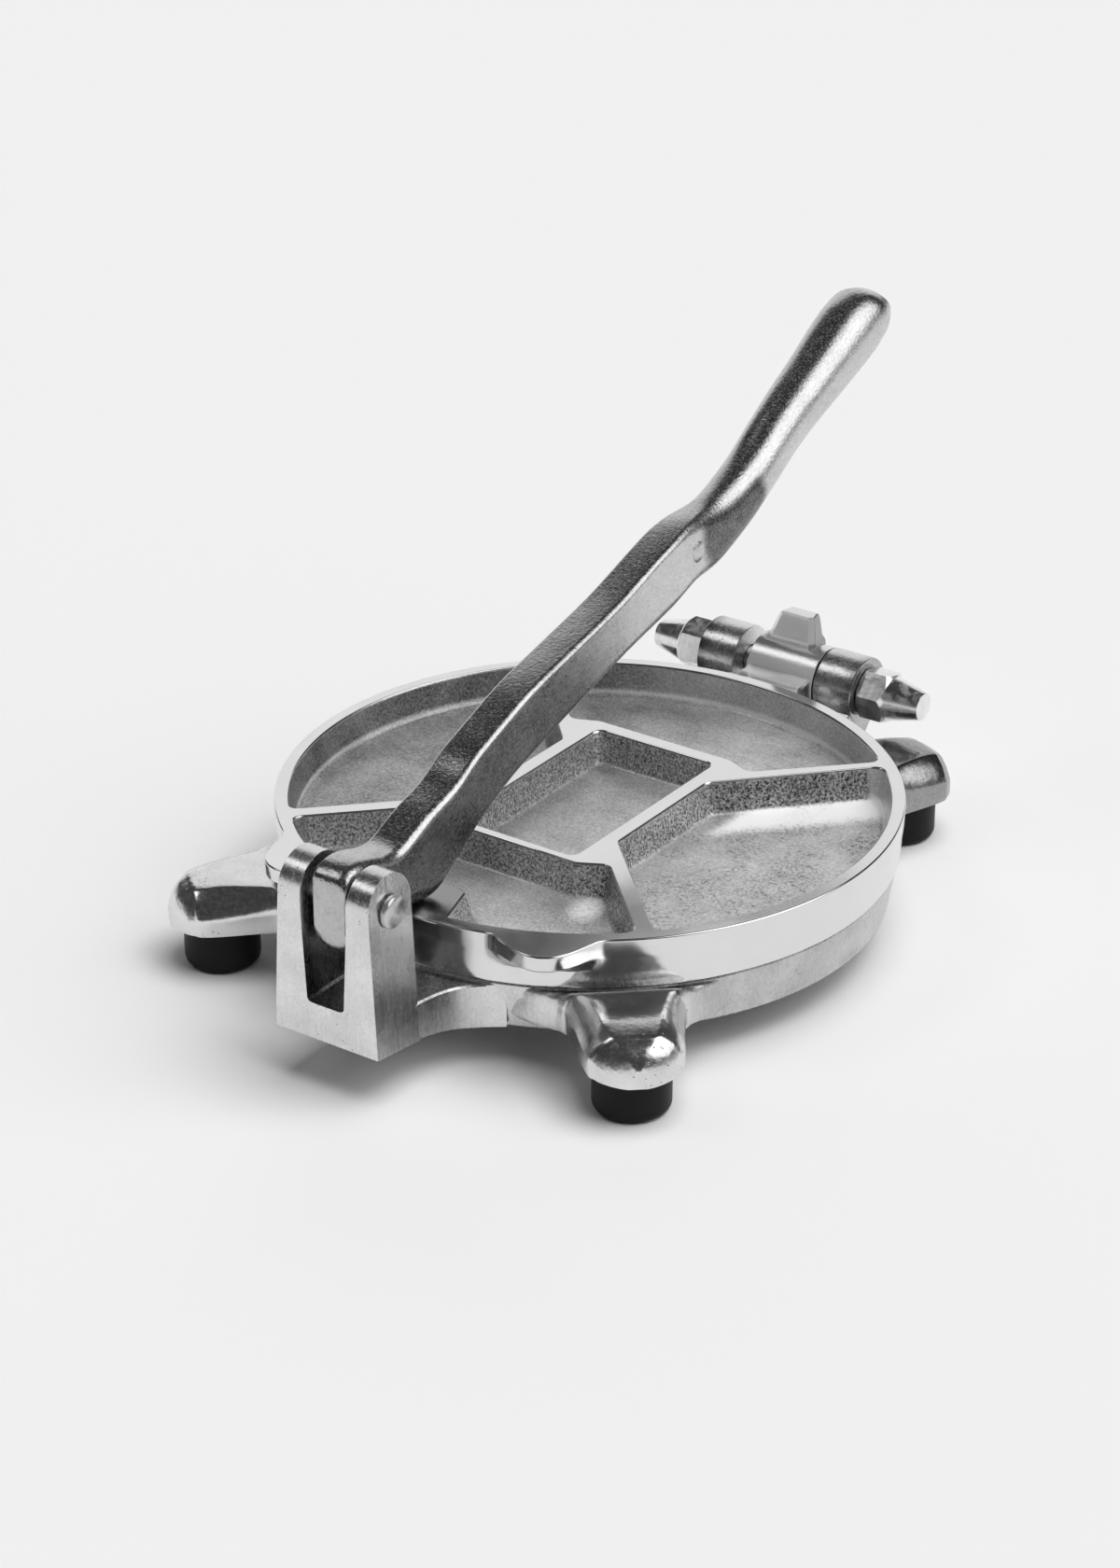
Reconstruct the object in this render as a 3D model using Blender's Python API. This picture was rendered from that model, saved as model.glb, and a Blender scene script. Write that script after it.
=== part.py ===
"""Cast tortilla press: a footed base, a hinged upper plate with five wells, and a pressing lever.

Lengths are metres. X runs along the hinge, the lever's clevis is at -Y, the plate hinge is at +Y, Z is up.
The shapes are drawn about the plate's own axis and are moved at the end, so that the origin lies on the
floor under the middle of the whole press.
"""

import math

import bmesh
import bpy
from mathutils import Vector

# general fits and cutting
CLEARANCE = 0.0003
OVERRUN = 0.0020
OVERLAP = 0.0015
MERGE = 0.000002

# how finely round shapes are divided
DISC_STEPS = 96
BORE_STEPS = 28
BORE_TURN = math.pi / BORE_STEPS
CORNER_STEPS = 3
ARC_STEPS = 22

# the driving size, the upper plate's outer radius
PLATE_RADIUS = 0.1000

# rubber feet
FOOT_RADIUS = 0.0120
FOOT_HEIGHT = 0.0150
FOOT_EDGE = 0.0030
FOOT_STEM_RADIUS = 0.0040
FOOT_STEM_HEIGHT = 0.0060

# base disc, a little smaller than the plate and with a skirt below the lobes
BASE_SETBACK = 0.0017
BASE_TAPER = 0.0023
BASE_HEIGHT = 0.0157
BASE_WALL = 0.0045
BASE_CEILING = 0.0055
BASE_EDGE = 0.0006
SKIRT_DROP = 0.0030
POST_LIFT = 0.0020
POST_ROOT = 0.0040
LEDGE_DROP = 0.0006
BASE_RADIUS = PLATE_RADIUS - BASE_SETBACK
BASE_INNER_RADIUS = BASE_RADIUS - BASE_TAPER - BASE_WALL
LOBE_UNDERSIDE = FOOT_HEIGHT + CLEARANCE
BASE_UNDERSIDE = LOBE_UNDERSIDE - SKIRT_DROP
BASE_TOP = BASE_UNDERSIDE + BASE_HEIGHT

# upper plate
PLATE_TAPER = 0.0010
PLATE_HEIGHT = 0.0170
PLATE_EDGE = 0.0007
WELL_DEPTH = 0.0110
WELL_DRAFT = 0.0024
WELL_FILLET = 0.0020
RIM_WIDTH = 0.0045
WELL_CORNER = 0.0036
PLATE_FOOT_RADIUS = PLATE_RADIUS - PLATE_TAPER
PLATE_UNDERSIDE = BASE_TOP + CLEARANCE
PLATE_TOP = PLATE_UNDERSIDE + PLATE_HEIGHT
WELL_FLOOR = PLATE_TOP - WELL_DEPTH
WELL_ARC = PLATE_RADIUS - RIM_WIDTH

# well outlines and the ribs between them
CENTRE_WELL_HALF = 0.0225
CENTRE_WELL_FRONT = 0.0410
CENTRE_WELL_REAR = 0.0377
SIDE_RIB_WIDTH = 0.0055
FRONT_RIB_WIDTH = 0.0030
REAR_RIB_WIDTH = 0.0053
SIDE_WELL_HALF = 0.0250
SIDE_WELL_FRONT_TURN = math.radians(45.0)
SIDE_WELL_REAR_TURN = math.radians(46.7)
END_WELL_HALF = 0.0255
END_WELL_CORNER_X = 0.0345
END_WELL_CORNER_Y = 0.0392
END_WELL_TURN = math.radians(45.0)
PAD_LENGTH = 0.0220
PAD_INNER_HALF = 0.0080
PAD_OUTER_HALF = 0.0125
PAD_CORNER = 0.0028
SIDE_WELL_INNER = CENTRE_WELL_HALF + SIDE_RIB_WIDTH
FRONT_WELL_EDGE = CENTRE_WELL_FRONT + FRONT_RIB_WIDTH
REAR_WELL_EDGE = CENTRE_WELL_REAR + REAR_RIB_WIDTH
PAD_INNER = PLATE_RADIUS - PAD_LENGTH

# thumb lips on the plate's front rim
LIP_ANGLE = math.radians(27.3)
LIP_HALF_ANGLE = math.radians(9.6)
LIP_REACH = 0.0115
LIP_THICKNESS = 0.0055
LIP_HEIGHT = 0.0110
LIP_STEPS = 10

# lobes that carry the feet
LOBE_OUTREACH = 0.0209
LOBE_RADIUS = 0.0158
LOBE_CROWN = 0.0149
FRONT_LOBE_ANGLE = math.radians(49.2)
REAR_LOBE_ANGLE = math.radians(64.3)
LOBE_REACH = BASE_RADIUS + LOBE_OUTREACH

# clevis that holds the lever
CLEVIS_STANDOFF = 0.0155
CLEVIS_DEPTH = 0.0203
CLEVIS_TOP_HALF = 0.0167
CLEVIS_FOOT_HALF = 0.0191
CLEVIS_LIFT = 0.0047
CLEVIS_SLOPE_SHARE = 0.124
SLOT_TOP_HALF = 0.0084
SLOT_FOOT_HALF = 0.0068
SLOT_LIFT = 0.0010
WEB_INSET = 0.0004
CLEVIS_BACK = PLATE_RADIUS + CLEVIS_STANDOFF
CLEVIS_FRONT = CLEVIS_BACK + CLEVIS_DEPTH
CLEVIS_UNDERSIDE = BASE_UNDERSIDE + CLEVIS_LIFT
SLOT_FLOOR = BASE_TOP + SLOT_LIFT

# clevis pin
PIN_SETBACK = 0.0102
PIN_RISE = 0.0167
PIN_RADIUS = 0.0038
PIN_HEAD_RADIUS = 0.0052
PIN_HEAD_HEIGHT = 0.0024
EAR_RISE = 0.0013
LEVER_PIN_Y = PIN_SETBACK - CLEVIS_FRONT
LEVER_PIN_Z = PLATE_TOP + PIN_RISE
EAR_CENTRE_HEIGHT = LEVER_PIN_Z + EAR_RISE
EAR_TOP = EAR_CENTRE_HEIGHT + CLEVIS_DEPTH / 2

# plate hinge
HINGE_SETBACK = 0.0205
HINGE_DROP = 0.0040
HINGE_ROD_RADIUS = 0.00475
KNUCKLE_RADIUS = 0.0115
KNUCKLE_LENGTH = 0.0147
BARREL_RADIUS = 0.0113
BARREL_LEFT = 0.0115
BARREL_RIGHT = 0.0148
RIGHT_KNUCKLE_GAP = 0.0004
LEFT_KNUCKLE_GAP = 0.0050
RIGHT_KNUCKLE_INNER = BARREL_RIGHT + RIGHT_KNUCKLE_GAP
LEFT_KNUCKLE_INNER = BARREL_LEFT + LEFT_KNUCKLE_GAP
HINGE_Y = PLATE_RADIUS + HINGE_SETBACK
HINGE_Z = PLATE_TOP - HINGE_DROP

# cone nuts
NUT_ACROSS_FLATS = 0.0160
NUT_HEX_LENGTH = 0.0098
NUT_CONE_LENGTH = 0.0120
NUT_CONE_RADIUS = 0.0078
NUT_END_RADIUS = 0.0048
NUT_BORE_DEPTH = 0.0130
ROD_SHORTFALL = 0.0010
RIGHT_NUT_TURN = math.radians(48.0)
LEFT_NUT_TURN = math.radians(20.0)

# hinge arm and tab of the plate
PLATE_ARM_FLARE = 0.0045
TAB_LEFT = 0.0052
TAB_RIGHT = 0.0085
TAB_TAPER = 0.0012
TAB_HEIGHT = 0.0215
TAB_FRONT = 0.0025
TAB_TOP_DEPTH = 0.0037
TAB_FOOT_DEPTH = 0.0080

# lever, measured from the clevis pin
LEVER_REACH = 0.2900
LEVER_HALF_WIDTH = 0.0065
LEVER_TOP_ROUND_SHARE = 0.10
LEVER_BAR_ROUND_SHARE = 0.34

# lever stations: along and up from the pin for the top line, the same for the underside,
# then the width and how deep the lower edges are rounded
LEVER_STATION_SHARES = (
    (-0.0262, 0.0190, -0.0262, -0.0362, 0.83, 0.18),
    (-0.0236, 0.0276, -0.0238, -0.0476, 0.94, 0.20),
    (-0.0138, 0.0355, -0.0159, -0.0572, 0.98, 0.21),
    (0.0000, 0.0390, -0.0014, -0.0610, 0.98, 0.22),
    (0.0259, 0.0352, 0.0262, -0.0614, 0.98, 0.24),
    (0.0486, 0.0286, 0.0452, -0.0576, 1.00, 0.26),
    (0.0641, 0.0272, 0.0624, -0.0500, 1.00, 0.27),
    (0.0772, 0.0300, 0.0786, -0.0459, 1.00, 0.28),
    (0.0903, 0.0355, 0.0928, -0.0472, 1.00, 0.30),
    (0.1021, 0.0407, 0.1069, -0.0521, 1.00, 0.31),
    (0.1145, 0.0459, 0.1176, -0.0555, 1.00, 0.32),
    (0.1279, 0.0503, 0.1303, -0.0555, 1.00, 0.32),
    (0.1434, 0.0548, 0.1441, -0.0490, 1.00, 0.33),
    (0.1624, 0.0614, 0.1641, -0.0331, 1.00, 0.34),
    (0.1969, 0.0810, 0.2072, -0.0062, 1.00, 0.36),
    (0.2366, 0.0969, 0.2538, 0.0179, 1.00, 0.38),
    (0.2952, 0.1183, 0.3141, 0.0393, 1.00, 0.39),
    (0.3628, 0.1352, 0.3831, 0.0607, 1.00, 0.41),
    (0.4607, 0.1593, 0.4797, 0.0883, 1.00, 0.43),
    (0.5503, 0.1890, 0.5693, 0.1090, 1.00, 0.45),
    (0.5969, 0.2021, 0.6124, 0.1228, 1.05, 0.46),
    (0.6476, 0.2090, 0.6652, 0.1310, 1.23, 0.48),
    (0.6893, 0.2203, 0.7183, 0.1555, 1.32, 0.50),
    (0.7307, 0.2379, 0.7631, 0.1831, 1.35, 0.50),
    (0.7752, 0.2662, 0.8062, 0.2107, 1.38, 0.50),
    (0.8200, 0.2924, 0.8497, 0.2328, 1.45, 0.50),
    (0.8641, 0.3159, 0.8952, 0.2514, 1.54, 0.50),
    (0.9079, 0.3414, 0.9417, 0.2714, 1.66, 0.50),
    (0.9400, 0.3572, 0.9745, 0.2869, 1.69, 0.50),
    (0.9666, 0.3634, 0.9962, 0.3041, 1.50, 0.50),
    (0.9862, 0.3593, 1.0041, 0.3221, 1.02, 0.50),
)


def clear_start():
    """Remove whatever the file opens with."""
    for item in list(bpy.data.objects):
        bpy.data.objects.remove(item, do_unlink=True)


def metal(name, colour, roughness):
    """Make one bare metal."""
    material = bpy.data.materials.new(name)
    material.use_nodes = True
    shader = material.node_tree.nodes["Principled BSDF"]
    shader.inputs["Base Color"].default_value = (*colour, 1.0)
    shader.inputs["Metallic"].default_value = 1.0
    shader.inputs["Roughness"].default_value = roughness
    return material


def base_metal():
    """Brushed casting of the base."""
    return metal("base_casting", (0.72, 0.72, 0.72), 0.38)


def plate_metal():
    """Polished casting of the upper plate."""
    return metal("top_plate", (0.76, 0.76, 0.76), 0.28)


def lever_metal():
    """Darker polished casting of the lever."""
    return metal("lever_handle", (0.62, 0.62, 0.63), 0.30)


def rod_metal():
    """Steel of the hinge rod."""
    return metal("hinge_rod", (0.58, 0.58, 0.59), 0.30)


def nut_metal():
    """Plated steel of the cone nuts."""
    return metal("cone_nut", (0.66, 0.66, 0.67), 0.22)


def pin_metal():
    """Soft bright metal of the clevis pin."""
    return metal("clevis_pin", (0.68, 0.68, 0.69), 0.30)


def foot_rubber():
    """Black rubber of the feet."""
    material = bpy.data.materials.new("rubber_foot")
    material.use_nodes = True
    shader = material.node_tree.nodes["Principled BSDF"]
    shader.inputs["Base Color"].default_value = (0.016, 0.016, 0.017, 1.0)
    shader.inputs["Metallic"].default_value = 0.0
    shader.inputs["Roughness"].default_value = 0.55
    return material


def solid(name, corners, faces):
    """Make an object from corners and faces, with every face looking outward."""
    mesh = bpy.data.meshes.new(name)
    mesh.from_pydata([tuple(corner) for corner in corners], [], faces)
    work = bmesh.new()
    work.from_mesh(mesh)
    bmesh.ops.remove_doubles(work, verts=work.verts, dist=MERGE)
    bmesh.ops.recalc_face_normals(work, faces=work.faces)
    work.to_mesh(mesh)
    work.free()
    item = bpy.data.objects.new(name, mesh)
    bpy.context.scene.collection.objects.link(item)
    return item


def loft(name, rings):
    """Skin a closed body over rings that all have the same number of points."""
    count = len(rings[0])
    corners = [point for ring in rings for point in ring]
    faces = []
    for level in range(len(rings) - 1):
        for index in range(count):
            after = (index + 1) % count
            low = level * count
            high = low + count
            faces.append((low + index, low + after, high + after, high + index))
    last = (len(rings) - 1) * count
    faces.append(tuple(range(count)))
    faces.append(tuple(range(last, last + count)))
    return solid(name, corners, faces)


def turned(name, profile, steps, place, turn=0.0):
    """Turn a profile of radius and height pairs about a line. It starts and ends on that line."""
    corners = [place(0.0, 0.0, profile[0][1])]
    for radius, height in profile[1:-1]:
        for step in range(steps):
            angle = turn + math.tau * step / steps
            corners.append(place(radius * math.cos(angle), radius * math.sin(angle), height))
    corners.append(place(0.0, 0.0, profile[-1][1]))
    faces = []
    levels = len(profile) - 2
    for step in range(steps):
        after = (step + 1) % steps
        faces.append((0, 1 + after, 1 + step))
        for level in range(levels - 1):
            low = 1 + level * steps
            high = low + steps
            faces.append((low + step, low + after, high + after, high + step))
        top = 1 + (levels - 1) * steps
        faces.append((top + step, top + after, len(corners) - 1))
    return solid(name, corners, faces)


def upright(centre_x, centre_y):
    """Place a turned profile with its line standing at a point."""
    return lambda across, along, height: (centre_x + across, centre_y + along, height)


def sideways(centre_y, centre_z):
    """Place a turned profile with its line along X."""
    return lambda across, along, height: (height, centre_y + across, centre_z + along)


def rod_x(name, radius, left, right, centre_y, centre_z, steps=BORE_STEPS, turn=0.0):
    """Make a plain cylinder along X."""
    profile = ((0.0, left), (radius, left), (radius, right), (0.0, right))
    return turned(name, profile, steps, sideways(centre_y, centre_z), turn)


def rod_z(name, radius, bottom, top, centre_x, centre_y, steps=BORE_STEPS):
    """Make a plain standing cylinder."""
    profile = ((0.0, bottom), (radius, bottom), (radius, top), (0.0, top))
    return turned(name, profile, steps, upright(centre_x, centre_y))


def prism_x(name, outline, left, right):
    """Push a flat outline of Y and Z pairs along X."""
    rings = [[(x, y, z) for y, z in outline] for x in (left, right)]
    return loft(name, rings)


def combine(target, tool, operation):
    """Join or cut a body with another one, then drop the other one."""
    tool.hide_render = True
    tool.display_type = "WIRE"
    step = target.modifiers.new(operation.lower(), "BOOLEAN")
    step.operation = operation
    step.solver = "EXACT"
    step.object = tool
    evaluated = target.evaluated_get(bpy.context.evaluated_depsgraph_get())
    result = bpy.data.meshes.new_from_object(evaluated)
    target.modifiers.remove(step)
    target.data = result
    bpy.data.objects.remove(tool, do_unlink=True)
    return target


def join(target, tool):
    """Add a body."""
    return combine(target, tool, "UNION")


def cut(target, tool):
    """Take a body away."""
    return combine(target, tool, "DIFFERENCE")


def inset(outline, distance):
    """Move each side of a closed anticlockwise outline inward by a distance."""
    moved = []
    count = len(outline)
    for index in range(count):
        before = Vector(outline[index - 1][:2])
        here = Vector(outline[index][:2])
        after = Vector(outline[(index + 1) % count][:2])
        into = (here - before).normalized()
        out = (after - here).normalized()
        into_side = Vector((-into.y, into.x))
        out_side = Vector((-out.y, out.x))
        middle = (into_side + out_side).normalized()
        stretch = 1.0 / max(middle.dot(into_side), 0.3)
        shifted = here + middle * (distance * stretch)
        moved.append((shifted.x, shifted.y, outline[index][2]))
    return moved


def rounded(outline, steps=CORNER_STEPS):
    """Round the corners of an outline whose third value is the corner radius."""
    points = []
    count = len(outline)
    for index in range(count):
        before = Vector(outline[index - 1][:2])
        here = Vector(outline[index][:2])
        after = Vector(outline[(index + 1) % count][:2])
        radius = outline[index][2]
        if radius == 0.0:
            points.append((here.x, here.y))
            continue
        back = before - here
        ahead = after - here
        half = back.angle(ahead) / 2
        reach = min(radius / math.tan(half), back.length * 0.48, ahead.length * 0.48)
        start = here + back.normalized() * reach
        end = here + ahead.normalized() * reach
        for step in range(steps + 1):
            share = step / steps
            first = start.lerp(here, share)
            second = here.lerp(end, share)
            point = first.lerp(second, share)
            points.append((point.x, point.y))
    return points


def arc(radius, start, end, steps=ARC_STEPS):
    """List points on an arc about the plate's axis, with no corner rounding."""
    points = []
    for step in range(steps + 1):
        angle = start + (end - start) * step / steps
        points.append((radius * math.cos(angle), radius * math.sin(angle), 0.0))
    return points


def meet_arc(start_x, start_y, turn, radius):
    """Angle at which a line leaving a point reaches an arc about the plate's axis."""
    step_x = math.cos(turn)
    step_y = math.sin(turn)
    along = start_x * step_x + start_y * step_y
    missing = start_x * start_x + start_y * start_y - radius * radius
    length = -along + math.sqrt(along * along - missing)
    return math.atan2(start_y + step_y * length, start_x + step_x * length)


def mirrored(outline):
    """Mirror an outline across the YZ plane and keep it anticlockwise."""
    return [(-x, y, radius) for x, y, radius in reversed(outline)]


def centre_well():
    """Outline of the oblong well in the middle."""
    return [
        (CENTRE_WELL_HALF, -CENTRE_WELL_FRONT, WELL_CORNER),
        (CENTRE_WELL_HALF, CENTRE_WELL_REAR, WELL_CORNER),
        (-CENTRE_WELL_HALF, CENTRE_WELL_REAR, WELL_CORNER),
        (-CENTRE_WELL_HALF, -CENTRE_WELL_FRONT, WELL_CORNER),
    ]


def side_well():
    """Outline of the right-hand well."""
    front = meet_arc(SIDE_WELL_INNER, -SIDE_WELL_HALF, -SIDE_WELL_FRONT_TURN, WELL_ARC)
    rear = meet_arc(SIDE_WELL_INNER, SIDE_WELL_HALF, SIDE_WELL_REAR_TURN, WELL_ARC)
    rim = arc(WELL_ARC, front, rear)
    rim[0] = (rim[0][0], rim[0][1], WELL_CORNER)
    rim[-1] = (rim[-1][0], rim[-1][1], WELL_CORNER)
    inner = [
        (SIDE_WELL_INNER, SIDE_WELL_HALF, WELL_CORNER),
        (SIDE_WELL_INNER, -SIDE_WELL_HALF, WELL_CORNER),
    ]
    return rim + inner


def rear_well():
    """Outline of the well beside the hinge."""
    start = meet_arc(END_WELL_CORNER_X, END_WELL_CORNER_Y, END_WELL_TURN, WELL_ARC)
    rim = arc(WELL_ARC, start, math.pi - start)
    rim[0] = (rim[0][0], rim[0][1], WELL_CORNER)
    rim[-1] = (rim[-1][0], rim[-1][1], WELL_CORNER)
    edge = [
        (-END_WELL_CORNER_X, END_WELL_CORNER_Y, WELL_CORNER),
        (-END_WELL_HALF, REAR_WELL_EDGE, WELL_CORNER),
        (END_WELL_HALF, REAR_WELL_EDGE, WELL_CORNER),
        (END_WELL_CORNER_X, END_WELL_CORNER_Y, WELL_CORNER),
    ]
    return rim + edge


def front_well():
    """Outline of the well at the lever's side, with the landing pad left standing in it."""
    start = meet_arc(END_WELL_CORNER_X, -END_WELL_CORNER_Y, -END_WELL_TURN, WELL_ARC)
    pad = -math.acos(PAD_OUTER_HALF / WELL_ARC)
    half_steps = ARC_STEPS // 2
    left_rim = arc(WELL_ARC, -math.pi - start, -math.pi - pad, half_steps)
    right_rim = arc(WELL_ARC, pad, start, half_steps)
    left_rim[0] = (left_rim[0][0], left_rim[0][1], WELL_CORNER)
    right_rim[-1] = (right_rim[-1][0], right_rim[-1][1], WELL_CORNER)
    landing = [
        (-PAD_INNER_HALF, -PAD_INNER, PAD_CORNER),
        (PAD_INNER_HALF, -PAD_INNER, PAD_CORNER),
    ]
    edge = [
        (END_WELL_CORNER_X, -END_WELL_CORNER_Y, WELL_CORNER),
        (END_WELL_HALF, -FRONT_WELL_EDGE, WELL_CORNER),
        (-END_WELL_HALF, -FRONT_WELL_EDGE, WELL_CORNER),
        (-END_WELL_CORNER_X, -END_WELL_CORNER_Y, WELL_CORNER),
    ]
    return left_rim + landing + right_rim + edge


def well_cutter(name, outline):
    """Make the drafted body that hollows one well."""
    slope = WELL_DRAFT / WELL_DEPTH
    levels = (
        (PLATE_TOP + OVERRUN, -slope * OVERRUN),
        (WELL_FLOOR + WELL_FILLET, slope * (WELL_DEPTH - WELL_FILLET)),
        (WELL_FLOOR + WELL_FILLET / 4, WELL_DRAFT + WELL_FILLET / 4),
        (WELL_FLOOR, WELL_DRAFT + WELL_FILLET),
    )
    rings = []
    for height, distance in levels:
        rings.append([(x, y, height) for x, y in rounded(inset(outline, distance))])
    return loft(name, rings)


def lip_bulge(angle):
    """Share of the thumb lips' reach at an angle round the rim."""
    for side in (-1, 1):
        offset = angle - (-math.pi / 2 + side * LIP_ANGLE)
        if abs(offset) < LIP_HALF_ANGLE:
            return math.cos(offset / LIP_HALF_ANGLE * math.pi / 2)
    return 0.0


def rim_angles():
    """Angles round the plate, closer together at the thumb lips."""
    angles = []
    for step in range(DISC_STEPS):
        angle = -math.pi + math.tau * step / DISC_STEPS
        near = False
        for side in (-1, 1):
            near = near or abs(angle + math.pi / 2 - side * LIP_ANGLE) < LIP_HALF_ANGLE
        if not near:
            angles.append(angle)
    for side in (-1, 1):
        middle = -math.pi / 2 + side * LIP_ANGLE
        for step in range(LIP_STEPS + 1):
            angles.append(middle + LIP_HALF_ANGLE * (2 * step / LIP_STEPS - 1))
    return sorted(angles)


def plate_disc():
    """Make the plate's solid disc with its two thumb lips."""
    lip_underside = PLATE_TOP - LIP_THICKNESS
    levels = (
        (PLATE_UNDERSIDE, PLATE_FOOT_RADIUS - PLATE_EDGE, 0.0),
        (PLATE_UNDERSIDE + PLATE_EDGE, PLATE_FOOT_RADIUS, 0.0),
        (PLATE_TOP - LIP_HEIGHT, PLATE_FOOT_RADIUS + PLATE_EDGE / 2, 0.0),
        (lip_underside - PLATE_EDGE, PLATE_RADIUS - PLATE_EDGE / 4, 0.78),
        (lip_underside, PLATE_RADIUS - PLATE_EDGE / 4, 0.94),
        (PLATE_TOP - PLATE_EDGE, PLATE_RADIUS, 1.0),
        (PLATE_TOP, PLATE_RADIUS - PLATE_EDGE, 1.0),
    )
    rings = []
    for height, radius, reach_share in levels:
        ring = []
        for angle in rim_angles():
            reach = radius + LIP_REACH * reach_share * lip_bulge(angle)
            ring.append((reach * math.cos(angle), reach * math.sin(angle), height))
        rings.append(ring)
    return loft("top_plate", rings)


def plate_arm():
    """Make the arm from the plate's rim to the hinge barrel."""
    rim_top = PLATE_TOP - PLATE_EDGE
    low = PLATE_UNDERSIDE + PLATE_EDGE
    stations = (
        (WELL_ARC - OVERLAP, PLATE_ARM_FLARE, low, rim_top),
        (PLATE_RADIUS - PLATE_EDGE, PLATE_EDGE / 2, low, rim_top),
        (PLATE_RADIUS + RIM_WIDTH, 0.0, low + PLATE_EDGE, rim_top - PLATE_EDGE),
        (HINGE_Y - BARREL_RADIUS * 0.6, 0.0, HINGE_Z - BARREL_RADIUS * 0.7, HINGE_Z + BARREL_RADIUS * 0.4),
    )
    rings = []
    for along, flare, bottom, top in stations:
        left = -BARREL_LEFT - flare + PLATE_EDGE
        right = BARREL_RIGHT + flare - PLATE_EDGE
        rings.append([(left, along, bottom), (right, along, bottom), (right, along, top), (left, along, top)])
    return loft("plate_arm", rings)


def plate_tab():
    """Make the upright tab on the hinge barrel."""
    foot = HINGE_Z + BARREL_RADIUS * 0.7
    top = HINGE_Z + TAB_HEIGHT
    front = HINGE_Y - TAB_FRONT
    edge = PLATE_EDGE
    stations = (
        (foot, 0.0, TAB_FOOT_DEPTH, 0.0),
        (HINGE_Z + BARREL_RADIUS + edge, 0.0, TAB_FOOT_DEPTH, 0.0),
        (top - edge, TAB_TAPER, TAB_TOP_DEPTH + edge, 0.0),
        (top, TAB_TAPER + edge, TAB_TOP_DEPTH - edge, edge / 2),
    )
    rings = []
    for height, taper, depth, setback in stations:
        left = -TAB_LEFT + taper
        right = TAB_RIGHT - taper / 4
        near = front + setback
        far = front + depth
        chamfer = depth / 5
        rings.append([
            (left + chamfer, near, height),
            (right - chamfer, near, height),
            (right, near + chamfer, height),
            (right - chamfer, far, height),
            (left + chamfer, far, height),
            (left, near + chamfer, height),
        ])
    return loft("plate_tab", rings)


def top_plate():
    """Make the upper plate: rim, wells, thumb lips and hinge barrel in one casting."""
    body = plate_disc()
    join(body, plate_arm())
    join(body, rod_x("barrel", BARREL_RADIUS, -BARREL_LEFT, BARREL_RIGHT, HINGE_Y, HINGE_Z))
    join(body, plate_tab())
    outlines = (centre_well(), side_well(), mirrored(side_well()), front_well(), rear_well())
    for outline in outlines:
        cut(body, well_cutter("well", outline))
    bore = HINGE_ROD_RADIUS + CLEARANCE
    reach = BARREL_RIGHT + OVERRUN
    cut(body, rod_x("barrel_bore", bore, -reach, reach, HINGE_Y, HINGE_Z, BORE_STEPS, BORE_TURN))
    return body


def base_disc():
    """Make the base's solid disc with tapered side."""
    foot_radius = BASE_RADIUS - BASE_TAPER
    profile = (
        (0.0, BASE_UNDERSIDE),
        (foot_radius - BASE_EDGE, BASE_UNDERSIDE),
        (foot_radius, BASE_UNDERSIDE + BASE_EDGE),
        (BASE_RADIUS, BASE_TOP - BASE_EDGE),
        (BASE_RADIUS - BASE_EDGE, BASE_TOP),
        (0.0, BASE_TOP),
    )
    return turned("base_casting", profile, DISC_STEPS, upright(0.0, 0.0))


def lobe(angle):
    """Make one foot lobe, swept outward from the base's side, with a flat crown and sloping shoulders."""
    start = BASE_INNER_RADIUS
    beyond = BASE_RADIUS + POST_ROOT
    low_share = (BASE_TOP - LEDGE_DROP - LOBE_UNDERSIDE) / LOBE_CROWN
    stations = (
        (start - OVERLAP, 1.46, low_share, 0.94, 0.70),
        (BASE_RADIUS + PLATE_EDGE, 1.22, low_share, 0.90, 0.68),
        (beyond, 1.10, 0.95, 0.84, 0.62),
        (beyond + LOBE_RADIUS * 0.5, 1.02, 1.00, 0.68, 0.56),
        (LOBE_REACH, 1.00, 0.99, 0.56, 0.50),
        (LOBE_REACH + LOBE_RADIUS * 0.36, 0.95, 0.95, 0.50, 0.48),
        (LOBE_REACH + LOBE_RADIUS * 0.66, 0.80, 0.85, 0.44, 0.45),
        (LOBE_REACH + LOBE_RADIUS * 0.87, 0.58, 0.69, 0.34, 0.40),
        (LOBE_REACH + LOBE_RADIUS * 0.99, 0.36, 0.50, 0.22, 0.34),
        (LOBE_REACH + LOBE_RADIUS * 1.04, 0.20, 0.38, 0.12, 0.30),
    )
    outward = Vector((math.cos(angle), math.sin(angle), 0.0))
    across = Vector((-math.sin(angle), math.cos(angle), 0.0))
    up = Vector((0.0, 0.0, 1.0))
    rings = []
    for reach, width_share, top_share, crown_share, shoulder_share in stations:
        side = width_share * LOBE_RADIUS
        crown = crown_share * side
        slope = (side + crown) / 2
        tall = top_share * LOBE_CROWN
        shoulder = shoulder_share * tall
        half = [
            (side * 0.94, 0.0),
            (side, shoulder * 0.20),
            (side, shoulder),
            (slope + (side - crown) * 0.08, (shoulder + tall) / 2 + (tall - shoulder) * 0.10),
            (crown, tall * 0.98),
            (crown * 0.5, tall),
        ]
        section = half + [(-offset, height) for offset, height in reversed(half)]
        ring = []
        for offset, height in section:
            ring.append(tuple(outward * reach + across * offset + up * (LOBE_UNDERSIDE + height)))
        rings.append(ring)
    return loft("lobe", rings)


def clevis_underside(along):
    """Height of the clevis's sloping underside at a distance in front of the plate's axis."""
    return CLEVIS_UNDERSIDE - (CLEVIS_FRONT - along) * CLEVIS_SLOPE_SHARE


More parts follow.
